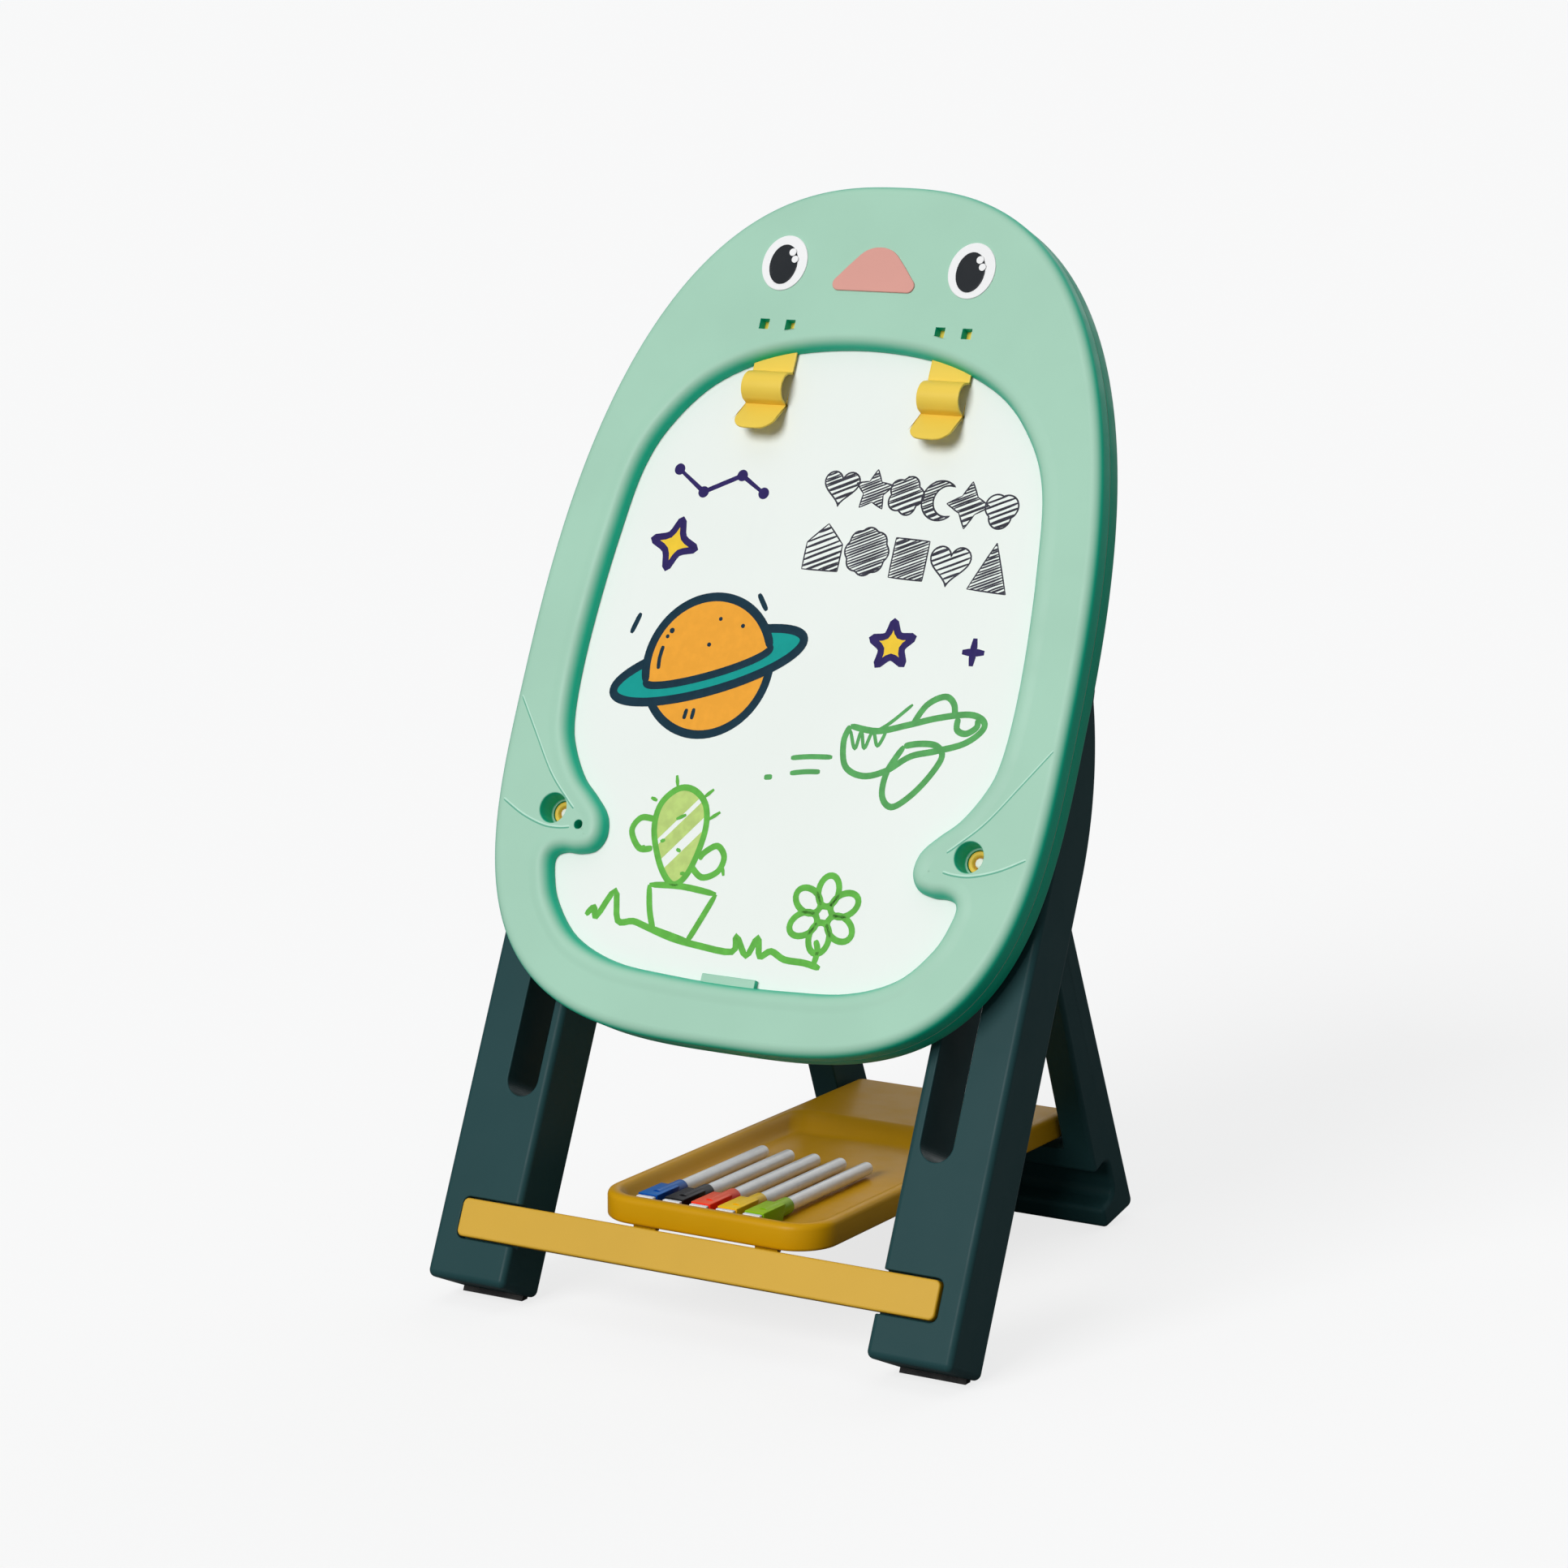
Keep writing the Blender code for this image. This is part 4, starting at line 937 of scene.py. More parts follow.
leaf.stroke(at((-91.4, 343.2), (-86, 323), (-78.2, 306)), PEN, 2, 4)
leaf.stroke(at((-30.1, 342.2), (-40, 318), (-47, 302)), PEN, 2, 4)
leaf.stroke(at((-86, 310), (-64, 306), (-43.7, 301.9)), PEN, 4, 4)
leaf.stroke(at(
    (-143, 313), (-137, 320), (-133, 313), (-121, 335), (-113, 312), (-99, 313), (-86, 310),
    (-62, 304), (-38, 301), (-5, 299.5), (-4, 312), (8, 298), (15, 313), (20, 299), (29, 304),
    (42, 299), (60, 298.5), (74, 296),
), 0.0054, 1, 4)
FLOWER = (0.0678, 0.3374)
leaf.stroke(circle(*FLOWER, 0.0066, 24), 0.0046, 3, 0, True)
for k in range(6):
    t = math.radians(90 + 60 * k)
    petal = tilted(
        FLOWER[0] + 0.0185 * math.cos(t), FLOWER[1] + 0.0185 * math.sin(t), 0.0122, 0.0088,
        90 + 60 * k, 0.0, 345.0, 24,
    )
    leaf.stroke(petal, PEN, 2, 0, True)
leaf.stroke(at((65.5, 317), (69, 309), (68, 297.5)), PEN, 2, 4)
leaf.done()
pale_leaf.done()

# Two rows of toy shapes in hatched pencil.
pencil = Print("print_pencil", (0.045, 0.045, 0.060), 0.25)
SHADE = math.radians(24)


def flower_outline(cx, cy, reach, dents, depth, turn=0.0):
    """A soft round shape with a number of dents, for a cloud, blossom or clover."""
    points = []
    for i in range(72):
        t = 2 * math.pi * i / 72
        r = reach * (1 - depth + depth * abs(math.cos(dents * (t - math.radians(turn)) / 2)))
        points.append(Vector((cx + r * math.cos(t), cy + r * math.sin(t))))
    return points


def heart_outline(cx, cy, size):
    points = []
    for i in range(48):
        t = 2 * math.pi * i / 48
        x = 16 * math.sin(t) ** 3
        y = 13 * math.cos(t) - 5 * math.cos(2 * t) - 2 * math.cos(3 * t) - math.cos(4 * t)
        points.append(Vector((cx + x * size / 32, cy + y * size / 32)))
    return points


def moon_outline(cx, cy, reach):
    outer = tilted(cx, cy, reach, reach, 0.0, 50.0, 310.0, 36)
    inner = tilted(cx + reach * 0.42, cy, reach * 0.78, reach * 0.78, 0.0, 290.0, 70.0, 30)
    return outer + inner


row_one = [
    heart_outline(0.0030, 0.6750, 0.0310), star(0.0325, 0.6730, 5, 0.0175, 0.0092, 90.0),
    flower_outline(0.0615, 0.6710, 0.0160, 5, 0.20), moon_outline(0.0920, 0.6690, 0.0160),
    star(0.1175, 0.6670, 4, 0.0190, 0.0098, 90.0), flower_outline(0.1465, 0.6650, 0.0150, 3, 0.26, 30.0),
]
row_two = [
    at((-17, 606), (15, 606), (15, 628), (-1, 644), (-17, 628)),
    flower_outline(0.0375, 0.6240, 0.0195, 8, 0.10),
    at((61, 605), (91, 604), (91, 636), (61, 637)),
    heart_outline(0.1120, 0.6200, 0.0350), at((131, 601), (165, 599), (149, 639)),
]
for outline in row_one + row_two:
    outline = [Vector(point) for point in outline]
    for i in range(len(outline)):
        if (outline[i] - outline[i - 1]).length > 0.006:
            pencil.stroke([outline[i - 1], outline[i]], 0.0014, 1, 3)
    if len(outline) > 20:
        pencil.stroke(outline, 0.0014, 1, 0, True)
    pencil.hatch(outline, SHADE, 0.0022, 0.0016)
pencil.done()

# Upper and lower crease of each flipper: a fine dark line of painted shade where the crease is pressed in,
# with a light line of painted highlight beside it.
CREASES = [
    at(
    (238.8, 479), (218.7, 451), (196, 420), (176, 400.5), (168, 393.5),
),
    at(
    (234.5, 394.5), (214, 384), (193, 377.5), (178, 376.8), (168, 378.2),
),
]
CREASE_WIDTH = 0.0013
crease_shade_ink = Print("flipper_crease_painted_shade", (0.150, 0.440, 0.310), 0.03, FACE, "board_mint")
crease_highlight_ink = Print("flipper_crease_painted_highlight", (0.520, 0.780, 0.640), 0.03, FACE, "board_mint")
for crease in CREASES:
    for side in (-1, 1):
        crease_shade_ink.stroke([(side * x, v) for x, v in crease], CREASE_WIDTH, 0, 8)
        crease_highlight_ink.stroke([(side * x, v + CREASE_WIDTH) for x, v in crease], CREASE_WIDTH, 0, 8)
crease_shade_ink.done()
crease_highlight_ink.done()

# ---------------------------------------------------------------- face: eyes and beak
# Two-part oval eyes with bitten-out glints and a soft pink beak, all thin pressed
# plastic inlays glued on the front shell.


def inlay(name, outline, low, thick, edge, material, replaced):
    """A thin plate with a rounded rim."""
    bm = bmesh.new()
    ring = lay_ring(bm, outline, low)
    bmesh.ops.contextual_create(bm, geom=ring_edges(bm, ring))
    steps = [(0.0, low + thick - edge)] + [
        (edge * (1 - math.cos(t)), low + thick - edge + edge * math.sin(t))
        for t in (math.pi / 2 * k / 4 for k in range(1, 5))
    ]
    for inset, height in steps:
        ring = grow_ring(bm, ring, moved_out(outline, -inset), height)
    ring = grow_ring(bm, ring, moved_out(outline, -edge - 0.0003), low + thick)
    bmesh.ops.contextual_create(bm, geom=ring_edges(bm, ring))
    bmesh.ops.recalc_face_normals(bm, faces=bm.faces[:])
    return new_piece(name, bm, LEANING, material, "board", replaced, 60)


eye_white = moulded_plastic("eye_white", (0.91, 0.91, 0.91), 0.30, grain=0.00001)
eye_dark = moulded_plastic("eye_dark", (0.020, 0.023, 0.027), 0.26, grain=0.00001)
pink = moulded_plastic("beak_pink", (0.720, 0.345, 0.290), 0.45)
EYE_X = 0.0846
EYE_UP = 0.8511
for side, word in ((-1, "left"), (1, "right")):
    white = tilted(side * EYE_X, EYE_UP, 0.0205, 0.0230, 0.0, 0.0, 355.0, 71)
    inlay("eye_" + word, white, FACE + 0.0001, 0.0009, 0.0006, eye_white, ["eye_white_" + word])
    cx = side * EYE_X - 0.0005
    cy = EYE_UP - 0.0014
    pupil = tilted(cx, cy, 0.0125, 0.0165, 0.0, 0.0, 358.0, 179)
    for gx, gy, bite in ((0.0066, 0.0102, 0.0033), (0.0098, 0.0044, 0.0031)):
        glint = Vector((cx + gx, cy + gy))
        pupil = [
            glint + (p - glint).normalized() * bite if (p - glint).length < bite else p for p in pupil
        ]
        tip = Vector((cx, cy))
        pupil = [
            p if (p - tip).length < 0.001 or (glint - p).length >= bite - 1e-6 else p for p in pupil
        ]
    inlay("pupil_" + word, pupil, FACE + 0.0010, 0.0007, 0.0003, eye_dark, ["eye_pupil_" + word])
    glints = bmesh.new()
    for gx, gy, bite in ((0.0066, 0.0102, 0.0033), (0.0098, 0.0044, 0.0031)):
        disc = bmesh.ops.create_cone(
            glints, cap_ends=True, segments=28, radius1=bite, radius2=bite - 0.0002, depth=0.0005
        )["verts"]
        bmesh.ops.translate(glints, vec=(cx + gx, cy + gy, FACE + 0.0017), verts=disc)
    new_piece("eye_glints_" + word, glints, LEANING, eye_white, "board")

beak = tilted(-0.0312, 0.8362, 0.0057, 0.0057, 0.0, 140.0, 268.0, 12)
beak += tilted(0.0312, 0.8362, 0.0057, 0.0057, 0.0, -88.0, 40.0, 12)
beak += smooth_line([(0.0340, 0.8415), (0.0235, 0.8535), (0.0125, 0.8640), (0.0, 0.8672),
                     (-0.0125, 0.8640), (-0.0235, 0.8535), (-0.0340, 0.8415)], 5)[1:-1]
inlay("beak_plate", beak, FACE + 0.0001, 0.0013, 0.0008, pink, ["beak"])

# ---------------------------------------------------------------- paper clips
# Springy yellow strips moulded in one piece: a flat root under the border, a half-round
# spring, a crease that presses on the sheet and a flared thumb lip with round corners.
clip_yellow = moulded_plastic("clip_yellow", CLIP_YELLOW, 0.38)
CLIP_HALF = 0.0185
CLIP_THICK = 0.0018
crease_height = SHEET + 0.0012
clip_line = [(0.8050, 0.0322), (0.7850, 0.0322), (0.7650, 0.0324), (0.7625, 0.0330)]
clip_line += [tuple(p) for p in tilted(0.7497, 0.0340, 0.0114, 0.0110, 0.0, 20.0, 155.0, 9)]
clip_line += [(0.7380, crease_height + 0.0012), (0.7366, crease_height), (0.7350, crease_height + 0.0010)]
clip_line += [
    (0.7290, crease_height + 0.0056), (0.7215, crease_height + 0.0112),
    (0.7155, crease_height + 0.0152), (0.7112, crease_height + 0.0174),
]
CLIP_ACROSS = 24
LIP_CORNER = 0.0125
for side, word in ((-1, "left"), (1, "right")):
    line = smooth_line(clip_line, 5)
    bm = bmesh.new()
    bmesh.ops.create_grid(bm, x_segments=CLIP_ACROSS, y_segments=len(line) - 1, size=0.5)
    lengths = [0.0]
    for a, b in zip(line, line[1:]):
        lengths.append(lengths[-1] + (b - a).length)
    total = lengths[-1]
    for vert in bm.verts:
        row = round((vert.co.y + 0.5) * (len(line) - 1))
        share = vert.co.x * 2
        left = total - lengths[row]
        half = CLIP_HALF
        if left < LIP_CORNER:
            half -= LIP_CORNER - math.sqrt(max(0.0, LIP_CORNER ** 2 - (LIP_CORNER - left) ** 2))
        vert.co = (side * CLIP_X + share * half, line[row].x, line[row].y)
    bmesh.ops.recalc_face_normals(bm, faces=bm.faces[:])
    bmesh.ops.solidify(bm, geom=bm.faces[:], thickness=CLIP_THICK)
    bmesh.ops.recalc_face_normals(bm, faces=bm.faces[:])
    rim = [e for e in bm.edges if len(e.link_faces) == 2 and e.calc_face_angle() > 1.2]
    round_edges(bm, rim, 0.0005, 2)
    snap_x = side * CLIP_X + SNAP_STEP + 0.0021
    add_block(bm, (0.0042, 0.0076, 0.0040), (snap_x, SNAP_UP, 0.0345))
    new_piece("clip_" + word, bm, LEANING, clip_yellow, "clip_" + word,
              ["paper_clip_" + word], 40)

# ---------------------------------------------------------------- front legs
# Hollow dark green mouldings, straight in front and curved in at the back towards the top.
# Rounded long edges, a through slot for the clamp and a notch for the crossbar.
LEG_GREEN = (0.018, 0.060, 0.064)
leg_green = moulded_plastic("leg_green", LEG_GREEN, 0.42, shine=0.11)
LEG_DEPTH = 0.0544
LEG_INNER = 0.1633
LEG_OUTER = 0.2360
LEG_CURVE_UP = 0.40
LEG_CURVE_R = 0.2418
LEG_TOP = 0.5455
LEG_SOLE = 0.0165
LEG_ROUND = 0.0050
SLOT_HALF = 0.0140
SLOT_LOW = 0.1675
SLOT_TOP = 0.4700
BAR_HALF = 0.2150
BAR_LOW = 0.0513
BAR_TOP = 0.0818
BAR_FRONT = 0.0025
BAR_BACK = -0.0095
BAR_GAP = 0.0015


def drawn_out(corners, path):
    """A solid from a flat outline, drawn out along a path."""
    bm = bmesh.new()
    face = bm.faces.new([bm.verts.new(corner) for corner in corners])
    grown = bmesh.ops.extrude_face_region(bm, geom=[face])["geom"]
    far = [v for v in grown if isinstance(v, bmesh.types.BMVert)]
    bmesh.ops.translate(bm, vec=path, verts=far)
    bmesh.ops.recalc_face_normals(bm, faces=bm.faces[:])
    return bm


def side_solid(profile, x0, x1):
    """A side profile of (up, out) points drawn out across."""
    return drawn_out([(x0, v, h) for v, h in profile], (x1 - x0, 0, 0))


def plan_solid(outline, low, high):
    """An outline in the leaning plane, raised towards the front."""
    return drawn_out([(x, v, low) for x, v in outline], (0, 0, high - low))


def round_box(x0, x1, y0, y1, radius, count=8):
    """A rectangle with round corners, anticlockwise from its lower left one."""
    left, right, low, high = x0 + radius, x1 - radius, y0 + radius, y1 - radius
    points = []
    for cx, cy, start in ((left, low, 180), (right, low, 270), (right, high, 0), (left, high, 90)):
        points += tilted(cx, cy, radius, radius, 0.0, start, start + 90, count)
    return points


def cutter(bm, axes):
    """A helper solid for a cut; it isn't part of the easel and is removed afterwards."""
    bmesh.ops.transform(bm, matrix=axes, verts=bm.verts[:])
    mesh = bpy.data.meshes.new("cutter")
    bm.to_mesh(mesh)
    bm.free()
    tool = bpy.data.objects.new("cutter", mesh)
    scene.collection.objects.link(tool)
    return tool


def carve(name, bm, axes, steps, material, body, replaced):
    """Bevel and cut a solid: steps are bevel widths with their angle, or cutters."""
    piece = new_piece(name, bm, axes, material, body, replaced)
    tools = []
    for step in steps:
        if isinstance(step, tuple):
            width, angle, segments = step
            modifier = piece.modifiers.new("bevel", "BEVEL")
            modifier.width = width
            modifier.segments = segments
            modifier.limit_method = "ANGLE"
            modifier.angle_limit = math.radians(angle)
            modifier.use_clamp_overlap = False
            modifier.miter_outer = "MITER_ARC"
        else:
            modifier = piece.modifiers.new("cut", "BOOLEAN")
            modifier.operation = "DIFFERENCE"
            modifier.solver = "EXACT"
            modifier.object = step
            tools.append(step)
    weights = piece.modifiers.new("weights", "WEIGHTED_NORMAL")
    weights.keep_sharp = True
    graph = bpy.context.evaluated_depsgraph_get()
    made = bpy.data.meshes.new_from_object(piece.evaluated_get(graph), depsgraph=graph)
    piece.modifiers.clear()
    piece.data = made
    for tool in tools:
        bpy.data.objects.remove(tool)
    return piece


def filleted(corners, count=6):
    """Anticlockwise outline of (x, y, radius) corners, with each corner rounded."""
    points = []
    for i, (x, y, radius) in enumerate(corners):
        corner = Vector((x, y))
        if radius == 0:
            points.append(corner)
            continue
        before = (Vector(corners[i - 1][:2]) - corner).normalized()
        after = (Vector(corners[(i + 1) % len(corners)][:2]) - corner).normalized()
        half = before.angle(after) / 2
        centre = corner + (before + after).normalized() * (radius / math.sin(half))
        start = corner + before * (radius / math.tan(half)) - centre
        end = corner + after * (radius / math.tan(half)) - centre
        sweep = start.angle_signed(end)
        for k in range(count + 1):
            turned_by = -sweep * k / count
            c = math.cos(turned_by)
            s = math.sin(turned_by)
            points.append(centre + Vector((start.x * c - start.y * s, start.x * s + start.y * c)))
    return points


SIDEWAYS = Matrix(((0, 0, 1, 0), (1, 0, 0, 0), (0, 1, 0, 0), (0, 0, 0, 1)))


def slab(outline, x0, x1, edge, steps=6):
    """A side profile of (up, out) points drawn out across, its rims rounded over."""
    turns = [math.pi / 2 * k / steps for k in range(steps + 1)]
    near = [(edge * (1 - math.sin(t)), x0 + edge * (1 - math.cos(t))) for t in turns]
    rings = [(edge + 0.0003, x0)] + near
    rings += [(inset, x0 + x1 - x) for inset, x in rings[::-1]]
    bm = bmesh.new()
    ring = lay_ring(bm, moved_out(outline, -rings[0][0]), rings[0][1])
    bmesh.ops.contextual_create(bm, geom=ring_edges(bm, ring))
    ring = grow_rings(bm, ring, [(moved_out(outline, -inset), x) for inset, x in rings[1:]])
    bmesh.ops.contextual_create(bm, geom=ring_edges(bm, ring))
    bmesh.ops.transform(bm, matrix=SIDEWAYS, verts=bm.verts[:])
    bmesh.ops.recalc_face_normals(bm, faces=bm.faces[:])
    return bm


# Side view: a straight back, then a long curve in to the tip.
curve_centre = LEG_CURVE_R - LEG_DEPTH
curve_sweep = math.acos((curve_centre + 0.0140) / LEG_CURVE_R)
LEG_CORNER = 0.0060
LEG_TIP_BACK = -0.0122
leg_corners = [(LEG_SOLE, 0.0, LEG_CORNER), (LEG_SOLE, -LEG_DEPTH, LEG_CORNER)]
leg_corners += [
    (LEG_CURVE_UP + LEG_CURVE_R * math.sin(curve_sweep * k / 24),
     curve_centre - LEG_CURVE_R * math.cos(curve_sweep * k / 24), 0)
    for k in range(25)
]
leg_corners += [(LEG_TOP, LEG_TIP_BACK, LEG_CORNER), (LEG_TOP, 0.0, LEG_CORNER)]
leg_outline = filleted(leg_corners)
for side, word in ((-1, "left"), (1, "right")):
    x0, x1 = sorted((side * LEG_INNER, side * LEG_OUTER))
    slot_x = side * CLAMP_X
    slot = tilted(slot_x, SLOT_LOW + SLOT_HALF, SLOT_HALF, SLOT_HALF, 0.0, 180.0, 360.0, 24)
    slot += tilted(slot_x, SLOT_TOP - SLOT_HALF, SLOT_HALF, SLOT_HALF, 0.0, 0.0, 180.0, 24)
    notch = round_box(
        -BAR_HALF - BAR_GAP, BAR_HALF + BAR_GAP, BAR_LOW - BAR_GAP, BAR_TOP + BAR_GAP, 0.0062
    )
    carve(
        "leg_" + word, slab(leg_outline, x0, x1, LEG_ROUND), LEANING,
        [
            cutter(plan_solid(slot, -0.08, 0.02), LEANING),
            cutter(plan_solid(notch, BAR_BACK - 0.0003, 0.02), LEANING), (0.0011, 50, 3),
        ],
        leg_green, "front_frame", ["front_leg_" + word],
    )

# Soft rubber pads let into the soles keep the CAD shape and take a rubber surface.
material, shader, place = start_material("pad_rubber", 0.85)
dust = noise(place, 60.0, 4.0)
RUBBER = (0.016, 0.016, 0.017, 1.0)
FLOOR_DUST = (0.060, 0.058, 0.055, 1.0)
feed(shader, "Base Color", dust.clamped(0.35, 0.8).mixed(RUBBER, FLOOR_DUST))
feed(shader, "Roughness", dust * 0.2 + 0.72)
feed(shader, "Normal", dust.bumped(0.5, 0.0002))
for word in ("left", "right"):
    pad_mesh = frame["nodes"]["front_foot_pad_" + word].data
    pad_mesh.materials.clear()
    pad_mesh.materials.append(material)

# ---------------------------------------------------------------- front crossbar
# A flat yellow bar let into the front of both legs, with softly rounded corners and edges.
# Painted shade: faces of the bar that turn away from its front are painted a darker yellow.
bar_yellow = moulded_plastic(
    "bar_yellow", BAR_YELLOW, 0.42, painted_shade_tone=(0.560, 0.290, 0.002), facing=out
)
carve(
    "crossbar", plan_solid(round_box(-BAR_HALF, BAR_HALF, BAR_LOW, BAR_TOP, 0.0050), BAR_BACK, BAR_FRONT),
    LEANING, [(0.0018, 40, 4)], bar_yellow, "front_frame", ["front_crossbar"],
)

# ---------------------------------------------------------------- hinge bridge
# Ribbed dark green bridge between the tops of the legs. Two lugs behind it carry the pins
# on which the rear stand swings.
HINGE_UP = 0.5827
HINGE_OUT = -0.0334
LUG_IN = 0.1347
LUG_OUT = 0.1527
LUG_ROUND = 0.0140
BRIDGE_HALF = 0.1630
BRIDGE_LOW = 0.508
BRIDGE_TOP = 0.602
POCKET_HALF = 0.128
POCKET_IN = 0.004                 # rim left round the pocket
plate = round_box(-BRIDGE_HALF, BRIDGE_HALF, BRIDGE_LOW, BRIDGE_TOP, 0.016)
pocket = round_box(
    -POCKET_HALF, POCKET_HALF, BRIDGE_LOW + POCKET_IN, BRIDGE_TOP - POCKET_IN, 0.006
)
carve(
    "bridge", plan_solid(plate, -0.0190, -0.0030), LEANING,
    [(0.0016, 40, 3), cutter(plan_solid(pocket, -0.0160, 0.01), LEANING)],
    leg_green, "front_frame", ["hinge_bridge"],
)
for side, word in ((-1, "left"), (1, "right")):
    lug = [(HINGE_UP - 0.024, -0.0150), (HINGE_UP + 0.0175, -0.0150)]
    lug += tilted(HINGE_UP, HINGE_OUT, LUG_ROUND, LUG_ROUND, 0.0, 0.0, -180.0, 15)
    x0, x1 = sorted((side * LUG_IN, side * LUG_OUT))
    carve("hinge_lug_" + word, side_solid(lug, x0, x1), LEANING, [(0.0014, 40, 3)],
          leg_green, "front_frame", ())
for x in (-0.084, -0.042, 0.0, 0.042, 0.084):
    strip = round_box(
        x - 0.0013, x + 0.0013, BRIDGE_LOW + POCKET_IN, BRIDGE_TOP - POCKET_IN, 0.0012, 2
    )
    rib = plan_solid(strip, -0.0162, -0.0045)
    carve("bridge_rib_%d" % round(x * 1000 + 200), rib, LEANING, [(0.0004, 40, 2)],
          leg_green, "front_frame", ())

# Zinc-plated pins with domed heads, from outside the lugs into the rear stand.
hinge_place = Vector(joints["rear_fold"]["pos_m"])
for side, word in ((-1, "left"), (1, "right")):
    pin = [
        (0.0, 0.1120), (0.0036, 0.1120), (0.0040, 0.1126), (0.0040, LUG_OUT + 0.0004),
        (0.0072, LUG_OUT + 0.0004), (0.0075, LUG_OUT + 0.0012), (0.0072, LUG_OUT + 0.0032),
        (0.0058, LUG_OUT + 0.0050), (0.0032, LUG_OUT + 0.0060), (0.0, LUG_OUT + 0.0063),
    ]
    bm = turned(pin, 32)
    turn = Matrix.Rotation(side * math.pi / 2, 4, "Y")
    new_piece("hinge_pin_" + word + "_turned", bm, Matrix.Translation(hinge_place) @ turn, steel,
              "rear_stand", ["hinge_pin_" + word], 40)

# ---------------------------------------------------------------- rear stand
# One dark green moulding: two legs that swell towards the floor, a tie under the hinge and
# a foot panel with a deep grip groove right across it.
REAR_LEAN = math.radians(21.9)
REAR = Matrix.Translation(hinge_place) @ Matrix.Rotation(math.pi / 2 + REAR_LEAN, 4, "X")
REAR_X = 0.1317
WINDOW_X = 0.1056
REAR_FRONT = 0.0127
FOOT_DEPTH = 0.0494
HEAD_DEPTH = 0.0270
FOOT = -(hinge_place.z - REAR_FRONT * math.sin(REAR_LEAN)) / math.cos(REAR_LEAN)
GROOVE_LOW = FOOT + 0.0190
GROOVE_TOP = FOOT + 0.0560
GROOVE_IN = REAR_FRONT - 0.0230
PANEL_TOP = FOOT + 0.0767
PANEL_WALL = 0.0045


def rear_back(s):
    """Back of the rear legs: they taper from the foot to the hinge."""
    return REAR_FRONT - FOOT_DEPTH + (FOOT_DEPTH - HEAD_DEPTH) * (s - FOOT) / -FOOT


heel = FOOT - 0.0091
rear_corners = [(heel, rear_back(heel), 0.0060), (-0.0120, rear_back(-0.0120), 0.0080)]
rear_corners += [
    (x, y, 0) for x, y in tilted(0.0, 0.0, REAR_FRONT, REAR_FRONT, 0.0, -10.0, 90.0, 10)
]
rear_corners += [
    (GROOVE_TOP, REAR_FRONT, 0.0045), (GROOVE_TOP, GROOVE_IN, 0.0090),
    (GROOVE_LOW, GROOVE_IN, 0.0090), (GROOVE_LOW, REAR_FRONT, 0.0045), (FOOT, REAR_FRONT, 0.0060),
]
window = round_box(-WINDOW_X, WINDOW_X, PANEL_TOP, -0.0580, 0.0040)
head_gap = round_box(-WINDOW_X, WINDOW_X, -0.0240, 0.05, 0.0040)
hollow_back = rear_back(FOOT) - 0.02
tie_back = side_solid([(-0.0600, -0.0060), (-0.0220, -0.0060), (-0.0220, -0.05), (-0.0600, -0.05)],
                      -WINDOW_X, WINDOW_X)
inner_front = REAR_FRONT - PANEL_WALL
inner_groove = GROOVE_IN - PANEL_WALL
channel = side_solid(
    [
        (PANEL_TOP - PANEL_WALL, inner_front), (GROOVE_TOP + PANEL_WALL, inner_front),
        (GROOVE_TOP + PANEL_WALL, inner_groove), (GROOVE_LOW - PANEL_WALL, inner_groove),
        (GROOVE_LOW - PANEL_WALL, inner_front), (FOOT + PANEL_WALL, inner_front),
        (FOOT - 0.0080, hollow_back), (PANEL_TOP - PANEL_WALL, hollow_back),
    ],
    -WINDOW_X - 0.0010, WINDOW_X + 0.0010,
)
carve(
    "rear_legs", slab(filleted(rear_corners), -REAR_X, REAR_X, 0.0038), REAR,
    [
        cutter(plan_solid(window, -0.08, 0.05), REAR),
        cutter(plan_solid(head_gap, -0.08, 0.05), REAR), cutter(tie_back, REAR), (0.0016, 50, 3),
        cutter(channel, REAR),
    ],
    leg_green, "rear_stand", ["rear_frame"],
)

# ---------------------------------------------------------------- pen tray
# A long yellow moulding: a shallow well with soft sloping walls in front and a level deck
# behind that runs out between the rear legs.
low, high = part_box("tray")
tray_hook = Vector(joints["tray_swing"]["pos_m"])
TRAY_HALF = high.x
TRAY_FRONT = low.y
TRAY_BACK = high.y
TRAY_TOP = high.z
TRAY_LOW = TRAY_TOP - 0.0215
WELL_BACK = foot_line.y + 0.3350
tray_yellow = moulded_plastic(
    "tray_yellow", (0.610, 0.310, 0.002), 0.36, grain=0.00004, shine=0.14
)


def tray_outline(inset, rear, front_corner=0.034, rear_corner=0.005, count=12):
    """Plan of the tray: wide front corners, tight rear ones; rear is its far edge."""
    points = []
    near = max(front_corner - inset, 0.008)
    far = max(rear_corner, 0.002)
    x = TRAY_HALF - inset
    y0 = TRAY_FRONT + inset
    for cx, cy, radius, start in (
        (-x + near, y0 + near, near, 180), (x - near, y0 + near, near, 270),
        (x - far, rear - far, far, 0), (-x + far, rear - far, far, 90),
    ):
        points += tilted(cx, cy, radius, radius, 0.0, start, start + 90, count)
    return points


